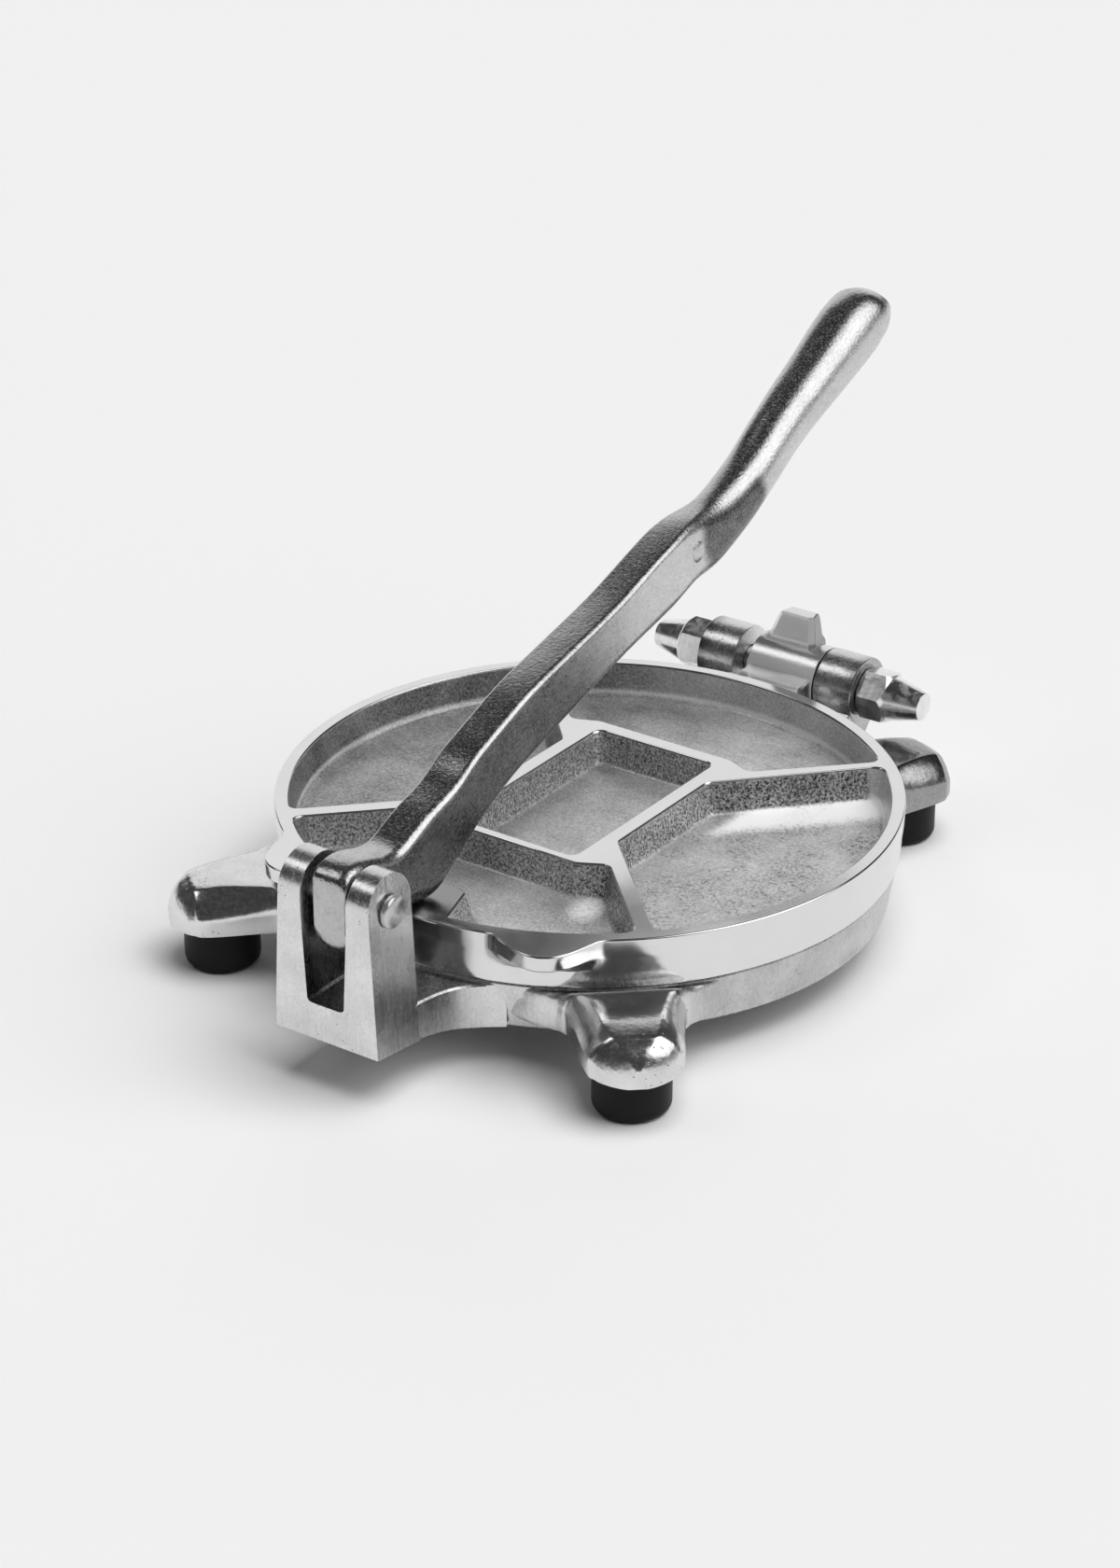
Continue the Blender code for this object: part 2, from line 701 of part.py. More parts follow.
def clevis_half(height):
    """Half the clevis's width at a height."""
    span = EAR_CENTRE_HEIGHT - CLEVIS_UNDERSIDE
    share = (height - CLEVIS_UNDERSIDE) / span
    return CLEVIS_FOOT_HALF + (CLEVIS_TOP_HALF - CLEVIS_FOOT_HALF) * share


def clevis_block():
    """Make the upright clevis block with its rounded top."""
    radius = CLEVIS_DEPTH / 2
    middle = (CLEVIS_FRONT + CLEVIS_BACK) / 2
    rings = []
    front_z = clevis_underside(CLEVIS_FRONT)
    back_z = clevis_underside(CLEVIS_BACK)
    foot = clevis_half(front_z)
    rings.append([
        (-foot, -CLEVIS_FRONT, front_z), (foot, -CLEVIS_FRONT, front_z),
        (foot, -CLEVIS_BACK, back_z), (-foot, -CLEVIS_BACK, back_z),
    ])
    for share in (0.0, 0.26, 0.5, 0.71, 0.87, 0.96, 0.995):
        height = EAR_CENTRE_HEIGHT + radius * share
        reach = radius * math.sqrt(1.0 - share * share)
        half = clevis_half(height) - PLATE_EDGE * share
        rings.append([
            (-half, -middle - reach, height), (half, -middle - reach, height),
            (half, -middle + reach, height), (-half, -middle + reach, height),
        ])
    return loft("clevis", rings)


def clevis_web():
    """Make the flared web that joins the clevis to the base's side."""
    top = BASE_TOP - LEDGE_DROP * 1.5
    start = CLEVIS_BACK + OVERLAP
    end = BASE_INNER_RADIUS
    run = start - end
    stations = ((0.0, 0.97), (0.12, 0.99), (0.34, 1.05), (0.58, 1.17), (0.78, 1.38), (1.0, 1.75))
    rings = []
    for share, flare_share in stations:
        along = start - run * share
        half = CLEVIS_FOOT_HALF * flare_share
        bottom = clevis_underside(along) + WEB_INSET
        bottom = max(bottom, BASE_UNDERSIDE + WEB_INSET)
        rings.append([
            (-half, -along, bottom), (half, -along, bottom),
            (half, -along, top), (-half, -along, top),
        ])
    return loft("clevis_web", rings)


def clevis_slot():
    """Make the tapered body that opens the clevis from front to back."""
    near = -CLEVIS_FRONT - OVERRUN
    far = -CLEVIS_BACK + OVERRUN
    top = EAR_TOP + OVERRUN
    levels = (
        (SLOT_FLOOR, SLOT_FOOT_HALF * 0.84),
        (SLOT_FLOOR + OVERRUN / 2, SLOT_FOOT_HALF),
        (LEVER_PIN_Z - PIN_HEAD_RADIUS, SLOT_TOP_HALF),
        (top, SLOT_TOP_HALF),
    )
    rings = []
    for height, half in levels:
        rings.append([(-half, near, height), (half, near, height), (half, far, height), (-half, far, height)])
    return loft("slot", rings)


def hinge_post(left, right):
    """Make one post with its knuckle, standing on the base's rear edge."""
    low = BASE_UNDERSIDE + POST_LIFT
    ledge = BASE_TOP - LEDGE_DROP * 2
    reach = HINGE_Y + KNUCKLE_RADIUS
    outline = (
        (BASE_INNER_RADIUS, low),
        (BASE_RADIUS + POST_ROOT, low),
        (HINGE_Y - OVERLAP, ledge - POST_ROOT * 0.8),
        (reach - KNUCKLE_RADIUS * 0.28, HINGE_Z - KNUCKLE_RADIUS * 0.66),
        (HINGE_Y, HINGE_Z),
        (HINGE_Y - KNUCKLE_RADIUS * 0.86, HINGE_Z - KNUCKLE_RADIUS * 0.45),
        (BASE_RADIUS + POST_ROOT * 1.4, BASE_TOP + POST_ROOT * 0.5),
        (BASE_RADIUS + POST_ROOT * 0.6, ledge),
        (BASE_INNER_RADIUS, ledge),
    )
    inner_step = BASE_EDGE / 2
    post = prism_x("post", outline, left + inner_step, right - inner_step)
    return join(post, rod_x("knuckle", KNUCKLE_RADIUS, left, right, HINGE_Y, HINGE_Z))


def base_hollow():
    """Make the body that hollows the base from below."""
    inner = BASE_INNER_RADIUS
    ceiling = BASE_TOP - BASE_CEILING
    profile = (
        (0.0, BASE_UNDERSIDE - OVERRUN),
        (inner, BASE_UNDERSIDE - OVERRUN),
        (inner - BASE_EDGE * 2, ceiling - BASE_EDGE * 2),
        (inner - BASE_EDGE * 4, ceiling),
        (0.0, ceiling),
    )
    return turned("hollow", profile, DISC_STEPS // 2, upright(0.0, 0.0))


def lobe_angles():
    """Directions of the four lobes with the name of each corner."""
    return (
        ("front_right", -FRONT_LOBE_ANGLE),
        ("front_left", math.pi + FRONT_LOBE_ANGLE),
        ("rear_right", REAR_LOBE_ANGLE),
        ("rear_left", math.pi - REAR_LOBE_ANGLE),
    )


def base_casting():
    """Make the base: disc, lobes, clevis and hinge knuckles in one casting."""
    body = base_disc()
    for _, angle in lobe_angles():
        join(body, lobe(angle))
    join(body, clevis_block())
    join(body, clevis_web())
    join(body, hinge_post(RIGHT_KNUCKLE_INNER, RIGHT_KNUCKLE_INNER + KNUCKLE_LENGTH))
    join(body, hinge_post(-LEFT_KNUCKLE_INNER - KNUCKLE_LENGTH, -LEFT_KNUCKLE_INNER))
    cut(body, base_hollow())
    cut(body, clevis_slot())
    pin_bore = PIN_RADIUS + CLEARANCE
    reach = CLEVIS_FOOT_HALF + OVERRUN
    cut(body, rod_x("pin_bore", pin_bore, -reach, reach, LEVER_PIN_Y, LEVER_PIN_Z, BORE_STEPS, BORE_TURN))
    rod_bore = HINGE_ROD_RADIUS + CLEARANCE
    reach = LEFT_KNUCKLE_INNER + KNUCKLE_LENGTH + OVERRUN
    cut(body, rod_x("rod_bore", rod_bore, -reach, reach, HINGE_Y, HINGE_Z, BORE_STEPS, BORE_TURN))
    for _, angle in lobe_angles():
        x = LOBE_REACH * math.cos(angle)
        y = LOBE_REACH * math.sin(angle)
        hole_top = FOOT_HEIGHT + FOOT_STEM_HEIGHT + CLEARANCE
        hole = FOOT_STEM_RADIUS + CLEARANCE
        cut(body, rod_z("stem_hole", hole, LOBE_UNDERSIDE - OVERRUN, hole_top, x, y))
    return body


def lever_ring(station):
    """List the points round the lever at one station."""
    top_y, top_z, low_y, low_z, width_share, depth = station
    top = Vector((0.0, LEVER_PIN_Y + top_y * LEVER_REACH, LEVER_PIN_Z + top_z * LEVER_REACH))
    low = Vector((0.0, LEVER_PIN_Y + low_y * LEVER_REACH, LEVER_PIN_Z + low_z * LEVER_REACH))
    half = LEVER_HALF_WIDTH * width_share
    crown = LEVER_TOP_ROUND_SHARE + max(0.0, depth - LEVER_BAR_ROUND_SHARE) * 2.5
    right_side = [(0.50, depth * 0.134), (0.866, depth * 0.5), (1.0, depth)]
    right_side += [(1.0, 1.0 - crown), (0.866, 1.0 - crown * 0.5), (0.50, 1.0 - crown * 0.134)]
    section = [(0.0, 0.0)] + right_side + [(0.0, 1.0)]
    section += [(-side, share) for side, share in reversed(right_side)]
    ring = []
    for side, share in section:
        point = low.lerp(top, share)
        ring.append((side * half, point.y, point.z))
    return ring


def lever_handle():
    """Make the lever with its hub, pressing heel, bar and round grip."""
    rings = [lever_ring(station) for station in LEVER_STATION_SHARES]
    body = loft("lever_handle", rings)
    bore = PIN_RADIUS + CLEARANCE
    reach = LEVER_HALF_WIDTH + OVERRUN
    return cut(body, rod_x("hub_bore", bore, -reach, reach, LEVER_PIN_Y, LEVER_PIN_Z, BORE_STEPS, BORE_TURN))


def clevis_pin():
    """Make the riveted pin through the clevis."""
    inner = clevis_half(LEVER_PIN_Z - PIN_HEAD_RADIUS) + CLEARANCE
    outer = inner + PIN_HEAD_HEIGHT
    half = [
        (PIN_RADIUS, inner),
        (PIN_HEAD_RADIUS, inner),
        (PIN_HEAD_RADIUS, inner + PIN_HEAD_HEIGHT * 0.45),
        (PIN_HEAD_RADIUS * 0.8, inner + PIN_HEAD_HEIGHT * 0.85),
        (PIN_HEAD_RADIUS * 0.45, outer),
        (0.0, outer),
    ]
    profile = [(radius, -height) for radius, height in reversed(half)] + half
    return turned("clevis_pin", profile, BORE_STEPS, sideways(LEVER_PIN_Y, LEVER_PIN_Z))


def nut_face(side):
    """Distance from the plate's axis to a nut's inner face."""
    inner = RIGHT_KNUCKLE_INNER if side > 0 else LEFT_KNUCKLE_INNER
    return inner + KNUCKLE_LENGTH + CLEARANCE


def hinge_rod():
    """Make the rod that carries the plate hinge."""
    left = -nut_face(-1) - NUT_BORE_DEPTH + ROD_SHORTFALL
    right = nut_face(1) + NUT_BORE_DEPTH - ROD_SHORTFALL
    chamfer = ROD_SHORTFALL
    profile = (
        (0.0, left),
        (HINGE_ROD_RADIUS - chamfer, left),
        (HINGE_ROD_RADIUS, left + chamfer),
        (HINGE_ROD_RADIUS, right - chamfer),
        (HINGE_ROD_RADIUS - chamfer, right),
        (0.0, right),
    )
    return turned("hinge_rod", profile, BORE_STEPS, sideways(HINGE_Y, HINGE_Z))


def cone_nut(name, side, turn):
    """Make one six-sided nut with a closed cone."""
    face = nut_face(side)
    shoulder = face + NUT_HEX_LENGTH
    tip = shoulder + NUT_CONE_LENGTH
    corner = NUT_ACROSS_FLATS / math.sqrt(3.0)
    place = sideways(HINGE_Y, HINGE_Z)
    hexagon = ((0.0, side * face), (corner, side * face), (corner, side * shoulder), (0.0, side * shoulder))
    body = turned(name, hexagon, 6, place, turn)
    step = NUT_CONE_LENGTH / 12
    cone = (
        (0.0, side * (shoulder - OVERLAP)),
        (NUT_CONE_RADIUS, side * (shoulder - OVERLAP)),
        (NUT_CONE_RADIUS, side * shoulder),
        (NUT_END_RADIUS, side * (tip - step / 2)),
        (NUT_END_RADIUS - step / 2, side * tip),
        (0.0, side * tip),
    )
    join(body, turned("cone", cone, BORE_STEPS, place))
    bore = HINGE_ROD_RADIUS + CLEARANCE
    near = side * (face - OVERRUN)
    far = side * (face + NUT_BORE_DEPTH)
    hole = rod_x("nut_bore", bore, min(near, far), max(near, far), HINGE_Y, HINGE_Z, BORE_STEPS, BORE_TURN)
    return cut(body, hole)


def rubber_foot(name, angle):
    """Make one round rubber foot with the stem that holds it."""
    x = LOBE_REACH * math.cos(angle)
    y = LOBE_REACH * math.sin(angle)
    top = FOOT_HEIGHT + FOOT_STEM_HEIGHT
    profile = (
        (0.0, 0.0),
        (FOOT_RADIUS - FOOT_EDGE, 0.0),
        (FOOT_RADIUS - FOOT_EDGE * 0.5, FOOT_EDGE * 0.134),
        (FOOT_RADIUS - FOOT_EDGE * 0.134, FOOT_EDGE * 0.5),
        (FOOT_RADIUS, FOOT_EDGE),
        (FOOT_RADIUS, FOOT_HEIGHT),
        (FOOT_STEM_RADIUS, FOOT_HEIGHT),
        (FOOT_STEM_RADIUS, top),
        (0.0, top),
    )
    return turned(name, profile, BORE_STEPS, upright(x, y))


def dress(item, material, smooth_angle):
    """Give a piece its material and smooth its gently turning faces."""
    item.data.materials.clear()
    item.data.materials.append(material)
    item.data.shade_smooth()
    item.data.set_sharp_from_angle(angle=smooth_angle)


def tidy(item):
    """Split flat many-sided faces and close the mesh up cleanly."""
    work = bmesh.new()
    work.from_mesh(item.data)
    bmesh.ops.remove_doubles(work, verts=work.verts, dist=MERGE)
    bmesh.ops.dissolve_degenerate(work, edges=work.edges, dist=MERGE)
    bmesh.ops.triangulate(work, faces=[face for face in work.faces if len(face.verts) > 4])
    work.to_mesh(item.data)
    work.free()


def middle_of_length(items):
    """Find the middle of the whole press from front to back."""
    values = [corner.co.y for item in items for corner in item.data.vertices]
    return (min(values) + max(values)) / 2


def seat(item, shift, pivot):
    """Move a piece's shape and set its origin at a point."""
    for corner in item.data.vertices:
        corner.co.y -= pivot[1]
        corner.co.z -= pivot[2]
    item.location = (pivot[0], pivot[1] - shift, pivot[2])


def main():
    """Build every piece of the press."""
    clear_start()
    metal_angle = math.radians(32.0)
    base = base_casting()
    plate = top_plate()
    lever = lever_handle()
    rod = hinge_rod()
    left_nut = cone_nut("cone_nut_left", -1, LEFT_NUT_TURN)
    right_nut = cone_nut("cone_nut_right", 1, RIGHT_NUT_TURN)
    pin = clevis_pin()
    feet = [rubber_foot("rubber_foot_" + corner, angle) for corner, angle in lobe_angles()]
    items = [base, plate, lever, rod, left_nut, right_nut, pin] + feet
    shift = middle_of_length(items)
    nut_finish = nut_metal()
    rubber = foot_rubber()
    finishes = [base_metal(), plate_metal(), lever_metal(), rod_metal(), nut_finish, nut_finish, pin_metal()]
    finishes += [rubber for _ in feet]
    hinge = (0.0, HINGE_Y, HINGE_Z)
    lever_pin = (0.0, LEVER_PIN_Y, LEVER_PIN_Z)
    still = (0.0, 0.0, 0.0)
    pivots = [still, hinge, lever_pin, hinge, hinge, hinge, lever_pin] + [still for _ in feet]
    for item, material, pivot in zip(items, finishes, pivots):
        tidy(item)
        dress(item, material, metal_angle)
        seat(item, shift, pivot)


main()
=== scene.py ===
"""Looks of a cast tortilla press: polished plate, brushed base, grainy lever, bright nuts and rubber feet.

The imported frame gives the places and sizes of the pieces. Every visible piece is modelled again here with
finer, rounder edges, drawn about the plate's own axis and then moved to where the frame holds it.
Lengths are metres.
"""

import logging
import math
from dataclasses import dataclass
from enum import Enum
from typing import Iterable, Optional, Sequence, Union

import bmesh
import bpy
from mathutils import Matrix, Vector


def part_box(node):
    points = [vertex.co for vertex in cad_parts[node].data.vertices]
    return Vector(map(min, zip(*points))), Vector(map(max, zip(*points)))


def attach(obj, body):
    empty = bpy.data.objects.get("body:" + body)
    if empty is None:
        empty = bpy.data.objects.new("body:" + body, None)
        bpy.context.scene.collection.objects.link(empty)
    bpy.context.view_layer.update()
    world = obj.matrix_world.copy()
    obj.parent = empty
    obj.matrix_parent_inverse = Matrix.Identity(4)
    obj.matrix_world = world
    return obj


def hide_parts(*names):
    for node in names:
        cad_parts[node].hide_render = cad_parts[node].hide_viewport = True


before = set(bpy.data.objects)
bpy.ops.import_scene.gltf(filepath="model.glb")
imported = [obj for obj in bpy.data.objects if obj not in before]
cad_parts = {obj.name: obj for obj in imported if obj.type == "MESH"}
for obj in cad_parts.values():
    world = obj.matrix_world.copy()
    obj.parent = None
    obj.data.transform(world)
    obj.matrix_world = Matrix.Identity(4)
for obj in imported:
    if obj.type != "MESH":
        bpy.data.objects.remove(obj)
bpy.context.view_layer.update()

LOG = logging.getLogger("tortilla_press")

Point = tuple[float, float, float]
# An outline's corner: its x, its y and the radius that rounds it
Corner = tuple[float, float, float]
# A turned profile's point: its radius and its height
Rim = tuple[float, float]
# Where a mask is 0 and where it is 1
Band = tuple[float, float]
# A noise's scale, detail and roughness
Grain = tuple[float, float, float]
Value = Union[float, "Wire"]

MERGE = 0.000001
# Keeps a whole number from being rounded down
NUDGE = 0.0001
# How far a cutting solid stands past the solid that it cuts
OVERRUN = 0.0010
# The least cosine at which an inset corner still moves in full
SHARPEST = 0.3
# Share of a side that the rounding of one corner may take
CORNER_SHARE = 0.48
GREY_WHITE = 0.88
BLACK = (0.0, 0.0, 0.0, 1.0)
WHITE = (1.0, 1.0, 1.0, 1.0)


class Body(Enum):
    """The moving bodies of the press."""

    BASE = "base"
    PLATE = "plate"
    LEVER = "lever"


class Slot(Enum):
    """The record's material slots."""

    BASE = "base_casting"
    PLATE = "top_plate"
    LEVER = "lever_handle"
    ROD = "hinge_rod"
    NUT = "cone_nut"
    PIN = "clevis_pin"
    RUBBER = "rubber_foot"


class Wire:
    """An output socket whose arithmetic adds Math nodes to its tree."""

    def __init__(self, bench: "Bench", socket: bpy.types.NodeSocket) -> None:
        """Hold one socket of a bench."""
        self.bench = bench
        self.socket = socket

    def math(self, operation: str, *values: Value) -> "Wire":
        """Add one Math node that starts from this wire."""
        return self.bench.math(operation, self, *values)

    def __add__(self, other: Value) -> "Wire":
        """Add."""
        return self.bench.math("ADD", self, other)

    def __radd__(self, other: Value) -> "Wire":
        """Add to a number."""
        return self.bench.math("ADD", other, self)

    def __sub__(self, other: Value) -> "Wire":
        """Subtract."""
        return self.bench.math("SUBTRACT", self, other)

    def __rsub__(self, other: Value) -> "Wire":
        """Subtract from a number."""
        return self.bench.math("SUBTRACT", other, self)

    def __mul__(self, other: Value) -> "Wire":
        """Multiply."""
        return self.bench.math("MULTIPLY", self, other)

    def __rmul__(self, other: Value) -> "Wire":
        """Multiply a number."""
        return self.bench.math("MULTIPLY", other, self)

    def __truediv__(self, other: Value) -> "Wire":
        """Divide."""
        return self.bench.math("DIVIDE", self, other)

    def size(self) -> "Wire":
        """Drop the sign."""
        return self.math("ABSOLUTE")

    def step(self, low: float, high: float) -> "Wire":
        """Rise smoothly from 0 to 1.

        Args:
            low: the value at which the result is 0.
            high: the value at which the result is 1, which may be the smaller one.

        Returns:
            The smooth share.
        """
        settings = {"interpolation_type": "SMOOTHSTEP"}
        if low < high:
            return self.bench.node("ShaderNodeMapRange", settings, {0: self, 1: low, 2: high})
        return 1.0 - self.bench.node("ShaderNodeMapRange", settings, {0: self, 1: high, 2: low})


class Bench:
    """A node tree that is being laid out."""

    def __init__(self, tree: bpy.types.NodeTree) -> None:
        """Work on one tree."""
        self.tree = tree

    def node(self, kind: str, settings: dict, sockets: dict, output: Union[int, str] = 0) -> Wire:
        """Add one node.

        Args:
            kind: the node's type.
            settings: its own settings.
            sockets: values or wires by the sockets' names or numbers.
            output: the name or number of the socket that is handed back.

        Returns:
            That output socket as a wire.
        """
        made = self.tree.nodes.new(kind)
        for name, value in settings.items():
            setattr(made, name, value)
        for key, value in sockets.items():
            self.plug(made.inputs[key], value)
        return Wire(self, made.outputs[output])

    def plug(self, socket: bpy.types.NodeSocket, value: object) -> None:
        """Link a wire to a socket, or set a plain value on it.

        Args:
            socket: the socket that is fed.
            value: the wire, number, colour or vector that feeds it.
        """
        if isinstance(value, Wire):
            self.tree.links.new(value.socket, socket)
        else:
            socket.default_value = value

    def math(self, operation: str, *values: Value) -> Wire:
        """Add one Math node."""
        return self.node("ShaderNodeMath", {"operation": operation}, dict(enumerate(values)))

    def place(self, middle: Point = (0.0, 0.0, 0.0), stretch: Point = (1.0, 1.0, 1.0)) -> Wire:
        """Read the object's own coordinates.

        Args:
            middle: the place that becomes the origin.
            stretch: how much the coordinates are stretched.

        Returns:
            The coordinates as a vector.
        """
        here = self.node("ShaderNodeTexCoord", {}, {}, "Object")
        shift = tuple(-share * way for share, way in zip(stretch, middle))
        return self.node("ShaderNodeMapping", {}, {"Vector": here, "Location": shift, "Scale": stretch})

    def parts(self, vector: Wire) -> tuple[Wire, Wire, Wire]:
        """Split a vector.

        Args:
            vector: the vector.

        Returns:
            Its three numbers.
        """
        made = self.tree.nodes.new("ShaderNodeSeparateXYZ")
        self.plug(made.inputs[0], vector)
        return tuple(Wire(self, socket) for socket in made.outputs)

    def facing(self) -> tuple[Wire, Wire, Wire]:
        """Split the surface's own direction into its three numbers."""
        return self.parts(self.node("ShaderNodeNewGeometry", {}, {}, "Normal"))

    def span(self, across: Wire, along: Wire, share: float = 1.0) -> Wire:
        """Length of two offsets at right angles, the second one's square weighed by a share."""
        return (across * across + along * along * share).math("SQRT")

    def noise(self, vector: Wire, grain: Grain) -> Wire:
        """Cloudy noise from 0 to 1."""
        sockets = dict(zip(("Vector", "Scale", "Detail", "Roughness"), (vector, *grain)))
        return self.node("ShaderNodeTexNoise", {}, sockets, "Fac")

    def cells(self, vector: Wire, scale: float) -> Wire:
        """Distance to the nearest of a scatter of points."""
        return self.node("ShaderNodeTexVoronoi", {}, {"Vector": vector, "Scale": scale}, "Distance")

    def grey(self, value: Wire) -> Wire:
        """Turn a number into a neutral colour through a Mix node."""
        return self.node("ShaderNodeMix", {"data_type": "RGBA"}, {0: value, 6: BLACK, 7: WHITE}, 2)

    def glow(self, value: Wire) -> Wire:
        """Turn a number into a neutral light, which may be brighter than white."""
        return self.node("ShaderNodeVectorMath", {"operation": "SCALE"}, {0: WHITE[:3], "Scale": value})

    def coat(self, shader: bpy.types.Node, tone: Wire, rough: Wire, height: Wire, slope: Band,
             dull: Optional[Wire] = None) -> None:
        """Feed a shader.

        Args:
            shader: the Principled shader.
            tone: its grey.
            rough: its roughness.
            height: the fine relief that tilts the surface.
            slope: the relief's strength and its height.
            dull: the share that isn't bare metal, or None where nothing is.
        """
        strength, distance = slope
        sockets = {"Height": height, "Strength": strength, "Distance": distance}
        self.plug(shader.inputs["Base Color"], self.grey(tone))
        self.plug(shader.inputs["Roughness"], rough)
        self.plug(shader.inputs["Normal"], self.node("ShaderNodeBump", {}, sockets, "Normal"))
        if dull is not None:
            self.plug(shader.inputs["Metallic"], 1.0 - dull)

    def close(self, shape: Wire, material: Wire) -> None:
        """End a geometry tree in plain mesh with its material.

        Args:
            shape: what the tree has made.
            material: the material of all of it.
        """
        plain = self.node("GeometryNodeRealizeInstances", {}, {0: shape})
        dressed = self.node("GeometryNodeSetMaterial", {}, {"Geometry": plain, "Material": material})
        self.plug(self.tree.nodes.new("NodeGroupOutput").inputs[0], dressed)


class Finish:
    """A finish that paints one material."""

    name: str

    def material(self) -> bpy.types.Material:
        """Make the material and let the finish wire it.

        Returns:
            The new material.
        """
        made = bpy.data.materials.new(self.name)
        made.use_nodes = True
        self.paint(Bench(made.node_tree), made.node_tree.nodes["Principled BSDF"])
        return made

    def paint(self, bench: Bench, shader: bpy.types.Node) -> None:
        """Wire the finish. Each finish has its own way."""
        raise NotImplementedError


@dataclass(frozen=True)
class PlateFinish(Finish):
    """Polished rim and ribs, sandy well walls and satin well floors."""

    axis_y: float
    top_z: float
    well_depth: float
    well_reach: float
    name: str = "plate_polish"
    rim_grey: float = 0.78
    wall_grey: float = 0.56
    arc_grey: float = 0.68
    floor_grey: float = 0.52
    cast_share: float = 0.42
    fine: Grain = (1500.0, 4.0, 0.7)
    coarse: Grain = (1300.0, 4.0, 0.7)
    clouds: Grain = (55.0, 3.0, 0.55)
    streaks: Grain = (330.0, 4.0, 0.65)
    streak_stretch: Point = (0.30, 1.0, 1.0)
    pits: Grain = (760.0, 4.0, 0.75)
    pit_zone: Grain = (62.0, 4.0, 0.7)
    dents: Grain = (620.0, 1.0, 0.5)
    swell: Grain = (140.0, 1.0, 0.5)
    slope: Band = (0.7, 0.00042)
    mouth: Band = (0.0009, 0.0003)
    brink: Band = (0.0002, 0.0010)
    floor_edge: Band = (-0.0016, -0.0002)
    foot_edge: Band = (-0.0030, -0.0012)
    arc_edge: Band = (-0.0060, -0.0035)
    speck_range: Band = (0.34, 0.66)
    side_wall_x: Band = (0.024, 0.034)
    side_wall_shade: float = 0.14
    arc_shade: float = 0.42
    arc_shade_x: Band = (-0.015, -0.060)
    floor_lean: float = 0.26
    floor_lean_x: Band = (-0.060, 0.050)
    pit_shade: float = 0.26
    pit_range: Band = (0.52, 0.58)
    pit_zone_range: Band = (0.44, 0.56)
    pit_zone_x: Band = (0.020, 0.036)
    pad_shade: float = 0.48
    pad_x: Band = (0.0165, 0.0150)
    pad_y: Band = (-0.0740, -0.0760)
    pad_depth: Band = (0.0010, 0.0002)
    pad_reach: Band = (0.0010, -0.0020)
    band_lift: float = 0.55
    band_dull: float = 0.54
    band_corner: tuple[float, float] = (0.0280, 0.0250)
    band_turn: float = math.radians(46.7)
    band_rise: Band = (-0.0190, -0.0105)
    band_fall: Band = (0.0035, 0.0005)
    band_x: Band = (0.0340, 0.0400)
    spot_place: tuple[float, float] = (0.0341, -0.0502)
    spot_range: Band = (0.0082, 0.00164)
    spot_share: float = 0.8
    arm_y: Band = (0.1015, 0.1035)
    arm_front: Band = (-0.55, -0.90)
    arm_front_light: float = 0.20
    arm_shade_facing: Band = (0.45, 0.80)
    arm_side_shade: float = 0.48

    def polished(self, bench: Bench, x: Wire, y: Wire) -> Wire:
        """Find where a well floor gets a painted reflection band or a painted glint spot.

        Args:
            bench: the material's tree.
            x: place across the plate.
            y: place towards the hinge.

        Returns:
            Share of the band at the foot of the right well's far wall, or of the front well's spot.
        """
        across = (y - self.band_corner[1]) * math.cos(self.band_turn)
        across = across - (x - self.band_corner[0]) * math.sin(self.band_turn)
        band = across.step(*self.band_rise) * across.step(*self.band_fall) * x.step(*self.band_x)
        spot = bench.span(x - self.spot_place[0], y - self.spot_place[1], 0.5).step(*self.spot_range)
        return band.math("MAXIMUM", self.spot_share * spot)

    def paint(self, bench: Bench, shader: bpy.types.Node) -> None:
        """Wire the finish by the depth below the rim.

        Args:
            bench: the material's tree.
            shader: its Principled shader.
        """
        middle = (0.0, self.axis_y, 0.0)
        here = bench.place(middle)
        x, y, z = bench.parts(here)
        reach = bench.span(x, y)
        depth = self.top_z - z
        fine = bench.noise(here, self.fine)
        coarse = bench.noise(here, self.coarse)
        clouds = bench.noise(here, self.clouds)
        streaks = bench.noise(bench.place(middle, self.streak_stretch), self.streaks)

        # The well's floor, the curved outer wall, the straight walls of the ribs and the foot of the walls
        well = reach.step(*self.beside(self.mouth)) * depth.step(*self.brink)
        floor = well * depth.step(*self.below(self.floor_edge))
        wall = well - floor
        arc_wall = wall * reach.step(*self.beside(self.arc_edge))
        rib_wall = wall - arc_wall
        foot = depth.step(*self.below(self.foot_edge))

        speck = coarse.step(*self.speck_range)
        rib_tone = self.wall_grey * (0.18 + 1.40 * speck) * (0.55 + 0.90 * clouds)
        rib_tone = rib_tone - self.side_wall_shade * rib_wall * x.step(*self.side_wall_x)
        # Painted highlight: the foot of the curved wall is painted lighter as a glint line
        arc_tone = self.arc_grey + 1.10 * (coarse - 0.5) + 0.50 * (clouds - 0.5) + 0.45 * foot
        arc_tone = arc_tone - self.arc_shade * x.step(*self.arc_shade_x)
        # Painted highlight: the band and the spot are painted lighter and less metallic on the floor
        glow = floor * self.polished(bench, x, y)
        floor_tone = self.floor_grey + 0.26 * (streaks - 0.5) + 0.50 * (clouds - 0.5) + 1.05 * (coarse - 0.5)
        # Painted light: the floors are painted lighter towards the right
        floor_tone = floor_tone + self.floor_lean * (x.step(*self.floor_lean_x) - 0.55)
        floor_tone = floor_tone + self.band_lift * glow
        pad = x.size().step(*self.pad_x) * y.step(*self.pad_y) * depth.step(*self.pad_depth)
        pad = pad * reach.step(*self.beside(self.pad_reach))
        rim_tone = self.rim_grey - self.pad_shade * pad + 0.10 * (clouds - 0.5) + 0.04 * (fine - 0.5)
        pits = bench.noise(here, self.pits).step(*self.pit_range)
        pit_zone = bench.noise(here, self.pit_zone).step(*self.pit_zone_range) * x.step(*self.pit_zone_x)
        pitted = floor * pits * pit_zone
